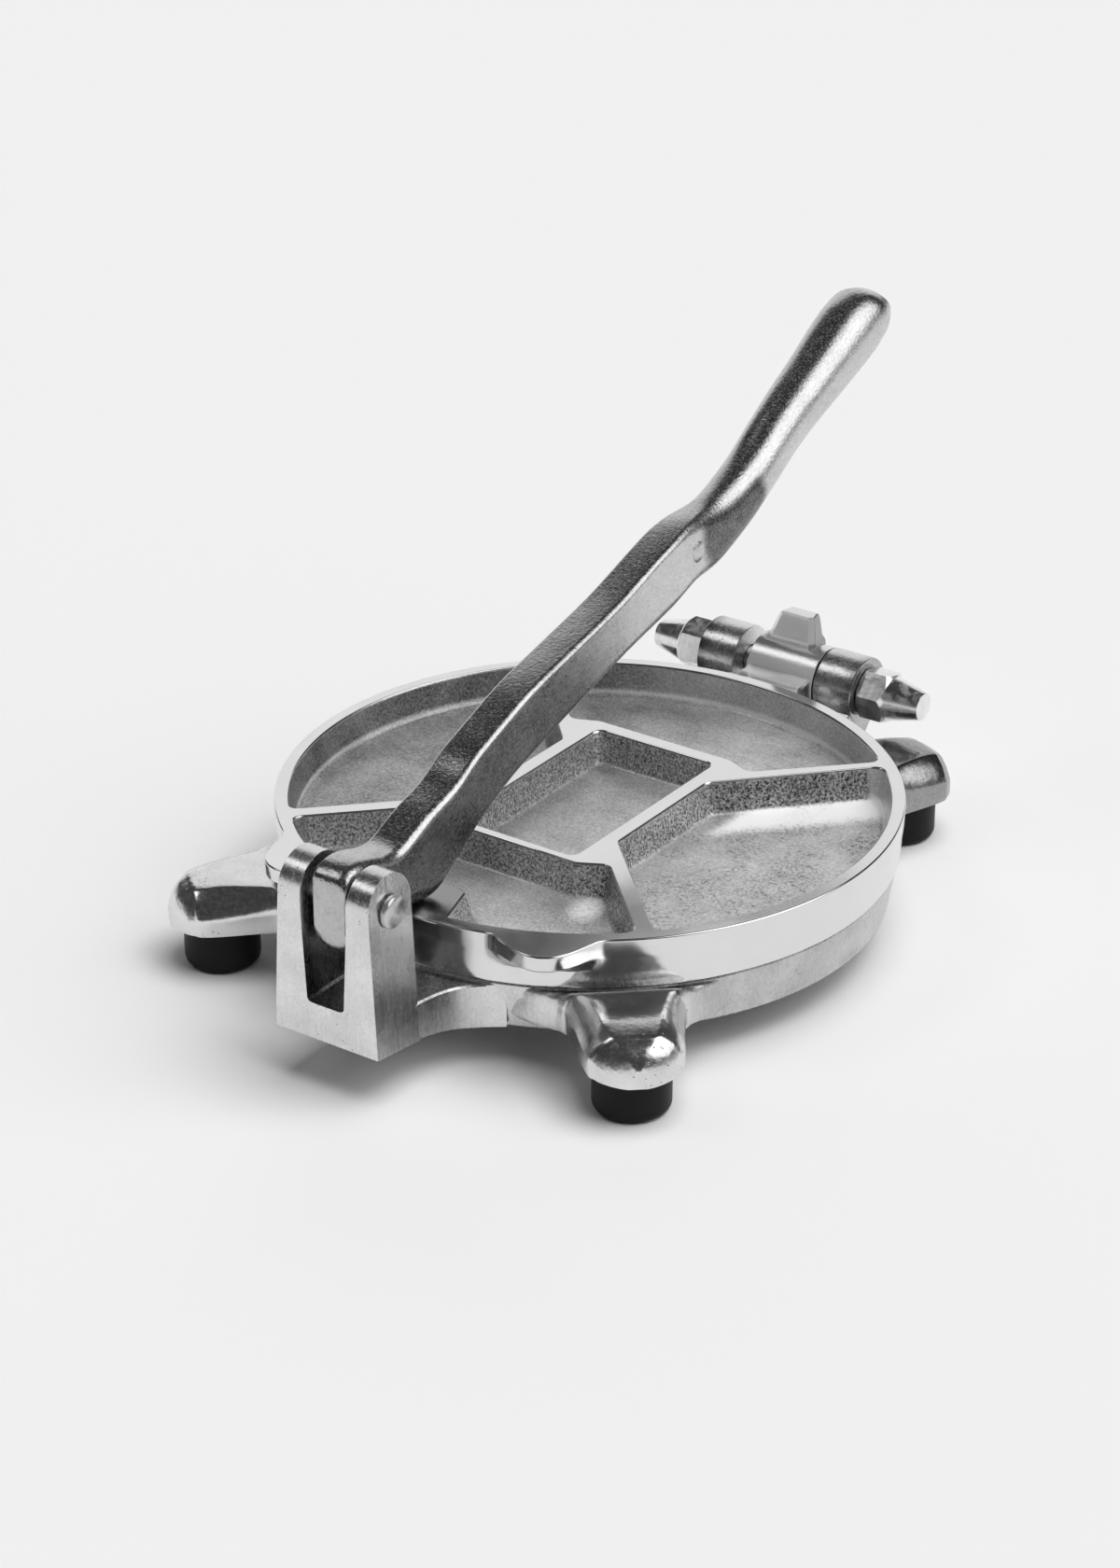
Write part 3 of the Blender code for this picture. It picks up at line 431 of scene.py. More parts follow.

        # The satin hinge arm, with painted light on its front faces and painted shade on the faces that look
        # right
        satin = y.step(*self.arm_y)
        rightward, backward, _ = bench.facing()
        front = satin * backward.step(*self.arm_front)
        shaded_side = satin * rightward.step(*self.arm_shade_facing)

        tone = rim_tone * (1.0 - well) + rib_tone * rib_wall + arc_tone * arc_wall
        tone = tone + floor_tone * floor - self.pit_shade * pitted
        tone = tone + self.arm_front_light * front - self.arm_side_shade * shaded_side
        rough = 0.13 + 0.06 * clouds + 0.15 * pitted + 0.10 * satin
        rough = rough + wall * 0.22 + floor * (0.17 + 0.14 * streaks)
        height = bench.noise(here, self.dents) * (0.012 + wall * 0.80 + floor * 0.26 + satin * 0.12)
        height = height + coarse * wall * 0.22
        height = height + bench.noise(here, self.swell) * (0.03 + floor * 0.5 + satin * 0.2) - pitted * 0.22
        dull = self.cast_share * well + self.band_dull * glow + 0.10 * satin + 0.44 * front
        bench.coat(shader, tone, rough, height, self.slope, dull + 0.30 * foot * arc_wall)

    def beside(self, band: Band) -> Band:
        """A band measured outward from the wells' outer wall."""
        return (self.well_reach + band[0], self.well_reach + band[1])

    def below(self, band: Band) -> Band:
        """A band measured down from the wells' floor."""
        return (self.well_depth + band[0], self.well_depth + band[1])


@dataclass(frozen=True)
class BaseFinish(Finish):
    """Brushed sides, polished lobes and a few casting pits."""

    axis_y: float
    rim_reach: float
    clevis_half: float
    name: str = "base_brushed"
    brushed_grey: float = 0.73
    polished_grey: float = 0.74
    brush: Grain = (900.0, 4.0, 0.7)
    brush_stretch: Point = (1.0, 1.0, 0.06)
    grain: Grain = (1100.0, 4.0, 0.7)
    clouds: Grain = (80.0, 4.0, 0.6)
    dents: Grain = (560.0, 1.0, 0.5)
    scratches: Grain = (620.0, 1.0, 0.5)
    scratch_stretch: Point = (1.0, 1.0, 0.08)
    swell: Grain = (110.0, 1.0, 0.5)
    slope: Band = (0.6, 0.00030)
    lobe_reach: Band = (0.002, 0.008)
    lobe_beside: Band = (1.3, 1.7)
    pit_scale: float = 520.0
    pit_size: Band = (0.16, 0.05)
    pit_zone: Grain = (48.0, 1.0, 0.5)
    pit_zone_range: Band = (0.54, 0.66)
    pit_shade: float = 0.36
    clevis_side_shade: float = 0.26
    clevis_shade_facing: Band = (0.55, 0.90)
    clevis_shade_z: Band = (0.060, 0.028)
    clevis_shade_y: Band = (-0.090, -0.104)
    slot_shade: float = 0.36
    slot_x: Band = (0.0086, 0.0078)
    slot_y: Band = (-0.100, -0.104)
    slot_facing: Band = (-0.90, -0.50)
    right_shade: float = 0.20
    right_x: Band = (0.030, 0.080)
    rear_shade: float = 0.42
    rear_y: Band = (0.0, 0.030)
    sand_range: Band = (0.48, 0.68)

    def paint(self, bench: Bench, shader: bpy.types.Node) -> None:
        """Wire the finish by the distance from the plate's axis.

        Args:
            bench: the material's tree.
            shader: its Principled shader.
        """
        middle = (0.0, self.axis_y, 0.0)
        here = bench.place(middle)
        x, y, z = bench.parts(here)
        beside = x.size().step(*(self.clevis_half * share for share in self.lobe_beside))
        lobes = bench.span(x, y).step(*(self.rim_reach + start for start in self.lobe_reach)) * beside
        plain = 1.0 - lobes
        brush = bench.noise(bench.place(middle, self.brush_stretch), self.brush)
        grain = bench.noise(here, self.grain)
        clouds = bench.noise(here, self.clouds)
        pits = bench.cells(here, self.pit_scale).step(*self.pit_size)
        pits = pits * bench.noise(here, self.pit_zone).step(*self.pit_zone_range)
        rightward, backward, _ = bench.facing()
        # Painted shade: the clevis's side faces darken towards their foot, the back of its slot darkens, and
        # so do the base's right side and the rear lobes
        clevis_shaded = rightward.size().step(*self.clevis_shade_facing) * z.step(*self.clevis_shade_z) * y.step(*self.clevis_shade_y)
        slot = x.size().step(*self.slot_x) * y.step(*self.slot_y) * backward.step(*self.slot_facing)
        tone = self.brushed_grey + (self.polished_grey - self.brushed_grey) * lobes
        tone = tone + 0.16 * (brush - 0.5) * plain + 0.36 * (clouds - 0.5) + 0.40 * (grain - 0.5)
        tone = tone - self.clevis_side_shade * clevis_shaded * plain - self.right_shade * plain * x.step(*self.right_x)
        tone = tone - self.rear_shade * lobes * y.step(*self.rear_y)
        tone = tone - self.slot_shade * slot - self.pit_shade * pits
        rough = 0.28 - 0.08 * lobes + 0.16 * (brush - 0.5) + 0.12 * (clouds - 0.5)
        scratches = bench.noise(bench.place(middle, self.scratch_stretch), self.scratches)
        height = scratches * plain * 0.20 + bench.noise(here, self.dents) * 0.34
        height = height + bench.noise(here, self.swell) * 1.1 - pits * 1.2
        dull = 0.20 * grain.step(*self.sand_range) * (1.0 - 0.6 * lobes)
        bench.coat(shader, tone, rough, height, self.slope, dull)


@dataclass(frozen=True)
class LeverFinish(Finish):
    """Grainy back and grip, painted darker than the satin side faces."""

    neck_y: float
    neck_z: float
    name: str = "lever_grain"
    back_grey: float = 0.50
    side_grey: float = 0.62
    grain: Grain = (1300.0, 4.0, 0.7)
    rubbed: Grain = (1300.0, 2.0, 0.6)
    rub_stretch: Point = (1.0, 0.16, 0.5)
    clouds: Grain = (90.0, 3.0, 0.6)
    dents: Grain = (950.0, 1.0, 0.5)
    swell: Grain = (120.0, 1.0, 0.5)
    slope: Band = (0.6, 0.00018)
    side_facing: Band = (0.80, 0.96)
    hub_shade: float = 0.40
    hub_y: Band = (0.012, -0.045)
    neck_shade: float = 0.46
    neck_reach: Band = (0.0200, 0.0150)
    neck_facing: Band = (0.76, 0.92)
    sand_range: Band = (0.46, 0.68)

    def paint(self, bench: Bench, shader: bpy.types.Node) -> None:
        """Wire the finish by the way the surface faces.

        Args:
            bench: the material's tree.
            shader: its Principled shader.
        """
        here = bench.place()
        _, y, z = bench.parts(here)
        rightward = bench.facing()[0]
        side = rightward.size().step(*self.side_facing)
        neck = bench.span(y - self.neck_y, z - self.neck_z).step(*self.neck_reach)
        neck = neck * rightward.step(*self.neck_facing)
        grain = bench.noise(here, self.grain)
        rubbed = bench.noise(bench.place(stretch=self.rub_stretch), self.rubbed)
        clouds = bench.noise(here, self.clouds)
        # Faces that look sideways get a lighter grey than the back: partly the satin finish, partly painted
        # shade on the back
        tone = self.back_grey + (self.side_grey - self.back_grey) * side
        # Painted shade: the side faces darken towards the hub, and a dark painted reflection lies on the
        # right face near the neck
        tone = tone - self.hub_shade * side * y.step(*self.hub_y) - self.neck_shade * neck
        tone = tone + (0.60 - 0.10 * side) * (grain - 0.5) + 0.24 * (clouds - 0.5) + 0.12 * (rubbed - 0.5)
        rough = 0.19 + 0.09 * side + 0.10 * (grain - 0.5) + 0.08 * (clouds - 0.5)
        height = bench.noise(here, self.dents) * (0.75 - 0.25 * side)
        height = height + bench.noise(here, self.swell) * 0.6 + grain * 0.60
        bench.coat(shader, tone, rough, height, self.slope, 0.22 * grain.step(*self.sand_range))


@dataclass(frozen=True)
class BrightFinish(Finish):
    """Turned and plated metal of the small fittings."""

    name: str
    tone_grey: float
    roughness: float
    turned: Grain = (2160.0, 2.0, 0.6)
    turn_stretch: Point = (1.0, 0.06, 0.06)
    clouds: Grain = (240.0, 3.0, 0.6)
    dents: Grain = (420.0, 1.0, 0.5)
    slope: Band = (0.5, 0.00012)
    stain_range: Band = (0.42, 0.62)

    def paint(self, bench: Bench, shader: bpy.types.Node) -> None:
        """Wire fine turning marks and handling stains.

        Args:
            bench: the material's tree.
            shader: its Principled shader.
        """
        here = bench.place()
        turned = bench.noise(bench.place(stretch=self.turn_stretch), self.turned)
        clouds = bench.noise(here, self.clouds)
        tone = self.tone_grey + 0.22 * (turned - 0.5) + 0.40 * (clouds - 0.5)
        rough = self.roughness + 0.10 * (turned - 0.5) + 0.12 * (clouds - 0.5)
        dull = 0.24 * clouds.step(*self.stain_range)
        bench.coat(shader, tone, rough, bench.noise(here, self.dents), self.slope, dull)


@dataclass(frozen=True)
class RubberFinish(Finish):
    """Black moulded rubber with a soft sheen."""

    name: str = "black_rubber"
    tone_grey: float = 0.004
    sheen: float = 0.16
    dust: Grain = (130.0, 3.0, 0.6)
    grain: Grain = (1400.0, 2.0, 0.6)
    slope: Band = (0.35, 0.00010)

    def paint(self, bench: Bench, shader: bpy.types.Node) -> None:
        """Wire faint dust and a fine moulded grain.

        Args:
            bench: the material's tree.
            shader: its Principled shader.
        """
        here = bench.place()
        dust = bench.noise(here, self.dust)
        grain = bench.noise(here, self.grain)
        rough = 0.46 + 0.20 * (dust - 0.5) + 0.10 * (grain - 0.5)
        shader.inputs["Specular IOR Level"].default_value = self.sheen
        bench.coat(shader, self.tone_grey + 0.008 * dust, rough, grain + dust, self.slope)


@dataclass(frozen=True)
class FloorFinish(Finish):
    """Pale matte studio floor."""

    name: str = "pale_floor"

    def paint(self, bench: Bench, shader: bpy.types.Node) -> None:
        """Set the plain pale colour.

        Args:
            bench: the material's tree.
            shader: its Principled shader.
        """
        bench.plug(shader.inputs["Base Color"], (GREY_WHITE, GREY_WHITE, GREY_WHITE, 1.0))
        bench.plug(shader.inputs["Roughness"], 1.0)
        bench.plug(shader.inputs["Specular IOR Level"], 0.0)


def grown(name: str, kinds: dict[str, str]) -> tuple[Bench, dict[str, str], list[Wire]]:
    """Start a geometry tree with named inputs.

    Args:
        name: the tree's name.
        kinds: the kind of each input's socket by the input's name.

    Returns:
        The tree's bench, the inputs' identifiers by name, and the wires of the given mesh and the inputs.
    """
    tree = bpy.data.node_groups.new(name, "GeometryNodeTree")
    face = tree.interface
    face.new_socket("Geometry", in_out="INPUT", socket_type="NodeSocketGeometry")
    keys = {}
    for title, kind in kinds.items():
        keys[title] = face.new_socket(title, in_out="INPUT", socket_type="NodeSocket" + kind).identifier
    face.new_socket("Geometry", in_out="OUTPUT", socket_type="NodeSocketGeometry")
    bench = Bench(tree)
    given = tree.nodes.new("NodeGroupInput").outputs
    return bench, keys, [Wire(bench, given[number]) for number in range(len(kinds) + 1)]


class Lathe:
    """A node tree that turns a profile of points about the Z axis."""

    def __init__(self) -> None:
        """Lay out the tree with its named inputs."""
        kinds = {"Steps": "Int", "Turn": "Float", "Finish": "Material"}
        bench, self.keys, (profile, steps, turn, finish) = grown("turned_profile", kinds)
        count = bench.node("GeometryNodeAttributeDomainSize", {}, {0: profile}, "Point Count")
        across = steps + 1.0
        sheet = bench.node("GeometryNodeMeshGrid", {}, {"Vertices X": count, "Vertices Y": across})
        index = bench.node("GeometryNodeInputIndex", {}, {})
        row = (index / across + NUDGE).math("FLOOR")
        column = index - row * across
        position = bench.node("GeometryNodeInputPosition", {}, {})
        settings = {"data_type": "FLOAT_VECTOR"}
        sample = bench.node("GeometryNodeSampleIndex", settings, {0: profile, 1: position, 2: row})
        radius, _, height = bench.parts(sample)
        angle = turn + column * math.tau / steps
        sides = {0: radius * angle.math("COSINE"), 1: radius * angle.math("SINE"), 2: height}
        spot = bench.node("ShaderNodeCombineXYZ", {}, sides)
        moved = bench.node("GeometryNodeSetPosition", {}, {"Geometry": sheet, "Position": spot})
        closed = bench.node("GeometryNodeMergeByDistance", {}, {"Geometry": moved, "Distance": MERGE})
        bench.close(closed, finish)
        self.tree = bench.tree
        self.material: Optional[bpy.types.Material] = None

    def load(self, finish: Finish) -> bpy.types.Material:
        """Make a finish's material, which every solid turned from now on takes."""
        self.material = finish.material()
        return self.material

    def turn(self, name: str, profile: Sequence[Rim], steps: int, place: Matrix,
             turn: float = 0.0) -> "Solid":
        """Turn one profile.

        Args:
            name: the new solid's name.
            profile: pairs of radius and height that start and end on the line.
            steps: sides round the line.
            place: where the line and its foot go.
            turn: angle of the first side.

        Returns:
            The closed solid.
        """
        made = Solid(name, [(radius, 0.0, height) for radius, height in profile], [])
        values = {"Steps": steps, "Turn": turn, "Finish": self.material}
        made.grow(self.tree, {self.keys[title]: value for title, value in values.items()})
        made.item.data.transform(place)
        made.close_up()
        return made


class Solid:
    """A closed mesh that can be joined with others and cut by them."""

    def __init__(self, name: str, corners: Sequence[Point], faces: Sequence[Sequence[int]]) -> None:
        """Make the mesh from corners and faces."""
        mesh = bpy.data.meshes.new(name)
        mesh.from_pydata([tuple(corner) for corner in corners], [], faces)
        self.item = bpy.data.objects.new(name, mesh)
        bpy.context.scene.collection.objects.link(self.item)
        if faces:
            self.close_up()

    @classmethod
    def loft(cls, name: str, rings: Sequence[Sequence[Point]]) -> "Solid":
        """Skin a closed body over rings.

        Args:
            name: the new solid's name.
            rings: the rings in order, which all have the same number of points.

        Returns:
            The closed solid.
        """
        count = len(rings[0])
        corners = [point for ring in rings for point in ring]
        faces: list[tuple[int, ...]] = []
        for low in range(0, len(corners) - count, count):
            high = low + count
            for index in range(count):
                after = (index + 1) % count
                faces.append((low + index, low + after, high + after, high + index))
        faces.append(tuple(range(count)))
        faces.append(tuple(range(len(corners) - count, len(corners))))
        return cls(name, corners, faces)

    def close_up(self) -> None:
        """Merge doubled corners and turn every face outward."""
        work = bmesh.new()
        work.from_mesh(self.item.data)
        bmesh.ops.remove_doubles(work, verts=work.verts, dist=MERGE)
        bmesh.ops.dissolve_degenerate(work, edges=work.edges, dist=MERGE)
        bmesh.ops.recalc_face_normals(work, faces=work.faces)
        work.to_mesh(self.item.data)
        work.free()

    def settle(self, title: str, kind: str, settings: dict) -> "Solid":
        """Add one modifier and turn its result into plain mesh.

        Args:
            title: the modifier's name.
            kind: its type.
            settings: its settings by name.

        Returns:
            The solid itself.
        """
        step = self.item.modifiers.new(title, kind)
        for name, value in settings.items():
            setattr(step, name, value)
        return self.freeze()

    def grow(self, tree: bpy.types.NodeTree, inputs: dict[str, object]) -> "Solid":
        """Run a geometry tree on the solid and keep the result as plain mesh.

        Args:
            tree: the tree.
            inputs: its inputs' values by the sockets' identifiers.

        Returns:
            The solid itself.
        """
        step = self.item.modifiers.new(tree.name, "NODES")
        step.node_group = tree
        for key, value in inputs.items():
            step[key] = value
        return self.freeze()

    def freeze(self) -> "Solid":
        """Turn the modifiers into plain mesh.

        Returns:
            The solid itself.
        """
        graph = bpy.context.evaluated_depsgraph_get()
        result = bpy.data.meshes.new_from_object(self.item.evaluated_get(graph))
        self.item.modifiers.clear()
        self.item.data = result
        return self

    def combine(self, other: "Solid", operation: str) -> "Solid":
        """Join, cut or intersect with another solid, which is used up.

        Args:
            other: the other solid.
            operation: the Boolean modifier's operation.

        Returns:
            The solid itself.
        """
        settings = {"operation": operation, "solver": "EXACT", "object": other.item}
        self.settle(operation.lower(), "BOOLEAN", settings)
        bpy.data.objects.remove(other.item, do_unlink=True)
        return self

    def join(self, other: "Solid") -> "Solid":
        """Add a solid."""
        return self.combine(other, "UNION")

    def cut(self, other: "Solid") -> "Solid":
        """Take a solid away."""
        return self.combine(other, "DIFFERENCE")

    def bevel(self, width: float, segments: int, angle: float) -> "Solid":
        """Round the edges that turn more than an angle in degrees."""
        limits = {"limit_method": "ANGLE", "angle_limit": math.radians(angle)}
        return self.settle("edges", "BEVEL", {"width": width, "segments": segments, **limits})

    def dress(self, name: str, material: bpy.types.Material, shift: Vector,
              smooth_angle: float = 32.0) -> bpy.types.Object:
        """Name the solid, move it into place, smooth it and give it its finish.

        Args:
            name: the piece's name.
            material: the finish of the whole solid.
            shift: from the drawing's middle to the frame.
            smooth_angle: edges that turn more than this in degrees stay sharp.

        Returns:
            The finished object.
        """
        self.item.name = name
        mesh = self.item.data
        mesh.transform(Matrix.Translation(shift))
        self.close_up()
        mesh.materials.clear()
        mesh.materials.append(material)
        mesh.shade_smooth()
        mesh.set_sharp_from_angle(angle=math.radians(smooth_angle))
        step = self.item.modifiers.new("even_shading", "WEIGHTED_NORMAL")
        step.keep_sharp = True
        step.weight = 80
        return self.item


def upright(x: float, y: float) -> Matrix:
    """Place a turned profile on a standing line."""
    return Matrix.Translation((x, y, 0.0))


def sideways(y: float, z: float) -> Matrix:
    """Place a turned profile on a line along X."""
    return Matrix(((0.0, 0.0, 1.0, 0.0), (1.0, 0.0, 0.0, y), (0.0, 1.0, 0.0, z), (0.0, 0.0, 0.0, 1.0)))


def swing(degrees: Iterable[float]) -> list[tuple[float, float]]:
    """Cosine and sine of each angle in degrees."""
    turns = [math.radians(angle) for angle in degrees]
    return [(math.cos(turn), math.sin(turn)) for turn in turns]


def quarter(steps: float, numbers: Iterable[int]) -> list[tuple[float, float]]:
    """Cosine and sine at numbered steps of a quarter turn."""
    return swing(90.0 * number / steps for number in numbers)


def drum(radius: float, low: float, high: float) -> list[Rim]:
    """Profile of a drum with sharp ends."""
    return [(0.0, low), (radius, low), (radius, high), (0.0, high)]


def soft_drum(low_radius: float, high_radius: float, low: float, high: float, edge: float) -> list[Rim]:
    """Profile of a drum with softened ends.

    Args:
        low_radius: radius at the lower end.
        high_radius: radius at the upper end.
        low: height of the lower end.
        high: height of the upper end.
        edge: how far the ends are softened.

    Returns:
        The profile.
    """
    cut = edge * 0.3
    return [
        (0.0, low), (low_radius - edge, low), (low_radius - cut, low + cut), (low_radius, low + edge),
        (high_radius, high - edge), (high_radius - cut, high - cut), (high_radius - edge, high), (0.0, high),
    ]


def block(half: float, near: float, far: float, height: float,
          far_height: Optional[float] = None) -> list[Point]:
    """Four corners of an oblong ring.

    Args:
        half: half its width.
        near: its front.
        far: its back.
        height: its height.
        far_height: the height of its back, where that differs.

    Returns:
        The corners.
    """
    back = height if far_height is None else far_height
    return [(-half, near, height), (half, near, height), (half, far, back), (-half, far, back)]


def beam(left: float, right: float, along: float, bottom: float, top: float, edge: float) -> list[Point]:
    """Six corners of an upright ring whose upper corners are cut off.

    Args:
        left: its left side.
        right: its right side.
        along: where it stands along Y.
        bottom: its foot.
        top: its top.
        edge: how far the upper corners are cut.

    Returns:
        The corners.
    """
    return [
        (left, along, bottom), (right, along, bottom), (right, along, top - edge),
        (right - edge, along, top), (left + edge, along, top), (left, along, top - edge),
    ]


def threaded(rows: Sequence[Sequence[float]], steps: int) -> list[tuple[float, ...]]:
    """Thread a smooth curve through rows of numbers.

    Args:
        rows: the rows, whose first two numbers say how far apart they are.
        steps: stretches between one row and the next.

    Returns:
        The rows with the ones between them.
    """
    pairs = list(zip(rows, rows[1:]))
    gaps = [max(math.dist(here[:2], after[:2]), MERGE) for here, after in pairs]
    rates = [[(end - start) / gap for start, end in zip(*pair)] for pair, gap in zip(pairs, gaps)]
    slopes = [rates[0]]
    for near, far, before, after in zip(gaps, gaps[1:], rates, rates[1:]):
        slopes.append([(slow * far + fast * near) / (near + far) for slow, fast in zip(before, after)])
    slopes.append(rates[-1])
    filled = []
    for index, gap in enumerate(gaps):
        for step in range(steps):
            t = step / steps
            share = t * t * (3 - 2 * t)
            row = []
            for start, end, leave, arrive in zip(*pairs[index], slopes[index], slopes[index + 1]):
                lean = t * (1 - t) ** 2 * (leave * gap) - t * t * (1 - t) * (arrive * gap)
                row.append(start + (end - start) * share + lean)
            filled.append(tuple(row))
    filled.append(tuple(rows[-1]))
    return filled


def corner_trios(outline: Sequence[Corner]) -> list[tuple[Vector, Vector, Vector]]:
    """Each corner of a closed outline between the one before it and the one after it.

    Args:
        outline: the corners in order.

    Returns:
        The places before, here and after, for each corner.
    """
    spots = [Vector(corner[:2]) for corner in outline]
    return list(zip(spots[-1:] + spots[:-1], spots, spots[1:] + spots[:1]))


def inset(outline: Sequence[Corner], distance: float) -> list[Corner]:
    """Move each side of a closed anticlockwise outline inward.

    Args:
        outline: the corners in order.
        distance: how far the sides move.

    Returns:
        The moved corners.
    """
    moved = []
    for (before, here, after), corner in zip(corner_trios(outline), outline):
        into = (here - before).normalized()
        out = (after - here).normalized()
        into_side = Vector((-into.y, into.x))
        out_side = Vector((-out.y, out.x))
        middle = (into_side + out_side).normalized()
        stretch = 1.0 / max(middle.dot(into_side), SHARPEST)
        shifted = here + middle * (distance * stretch)
        moved.append((shifted.x, shifted.y, corner[2]))
    return moved


def rounded(outline: Sequence[Corner], steps: int) -> list[tuple[float, float]]:
    """Round the corners of a closed outline.

    Args:
        outline: the corners in order.
        steps: stretches round each corner that has a radius.

    Returns:
        The points of the rounded outline.
    """
    points = []
    radii = [corner[2] for corner in outline]
    for index, (before, here, after) in enumerate(corner_trios(outline)):
        if radii[index] == 0.0:
            points.append((here.x, here.y))
            continue
        back = before - here
        ahead = after - here
        half = back.angle(ahead) / 2
        back_room = back.length * CORNER_SHARE * (1 if radii[index - 1] > 0.0 else 2)
        ahead_room = ahead.length * CORNER_SHARE * (1 if radii[(index + 1) % len(radii)] > 0.0 else 2)
        reach = min(radii[index] / math.tan(half), back_room, ahead_room)
        start = here + back.normalized() * reach
        end = here + ahead.normalized() * reach
        for step in range(steps + 1):
            share = step / steps
            point = start.lerp(here, share).lerp(here.lerp(end, share), share)
            points.append((point.x, point.y))
    return points


@dataclass(frozen=True)
class Layout:
    """Places that the frame gives and that several sub-assemblies share."""

    plate_radius: float
    hinge_y: float
    hinge_z: float
    pin_y: float
    pin_z: float
    plate_top: float
    plate_foot: float
    base_top: float
    base_foot: float
    shift: Vector

    HINGE_SETBACK = 0.0205
    PLATE_HEIGHT = 0.0170
    BASE_HEIGHT = 0.0157
    CLEARANCE = 0.0003

    @classmethod
    def from_frame(cls) -> "Layout":
        """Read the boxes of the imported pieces.

        Returns:
            The places, drawn about the plate's own axis.
        """
        plate_low, plate_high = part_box("top_plate")
        rod_low, rod_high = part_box("hinge_rod")
        pin_low, pin_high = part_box("clevis_pin")
        radius = (plate_high.x - plate_low.x) / 2
        hinge = (rod_low + rod_high) / 2
        pin = (pin_low + pin_high) / 2
        axis_y = hinge.y - radius - cls.HINGE_SETBACK
        base_top = plate_low.z - cls.CLEARANCE
        return cls(
            plate_radius=radius,
            hinge_y=hinge.y - axis_y,
            hinge_z=hinge.z,
            pin_y=pin.y - axis_y,
            pin_z=pin.z,
            plate_top=plate_low.z + cls.PLATE_HEIGHT,
            plate_foot=plate_low.z,
            base_top=base_top,
            base_foot=base_top - cls.BASE_HEIGHT,
            shift=Vector((0.0, axis_y, 0.0)),
        )

    @property
    def hinge(self) -> Matrix:
        """Place of a profile turned about the hinge."""
        return sideways(self.hinge_y, self.hinge_z)

    @property
    def pin(self) -> Matrix:
        """Place of a profile turned about the clevis's rivet."""
        return sideways(self.pin_y, self.pin_z)


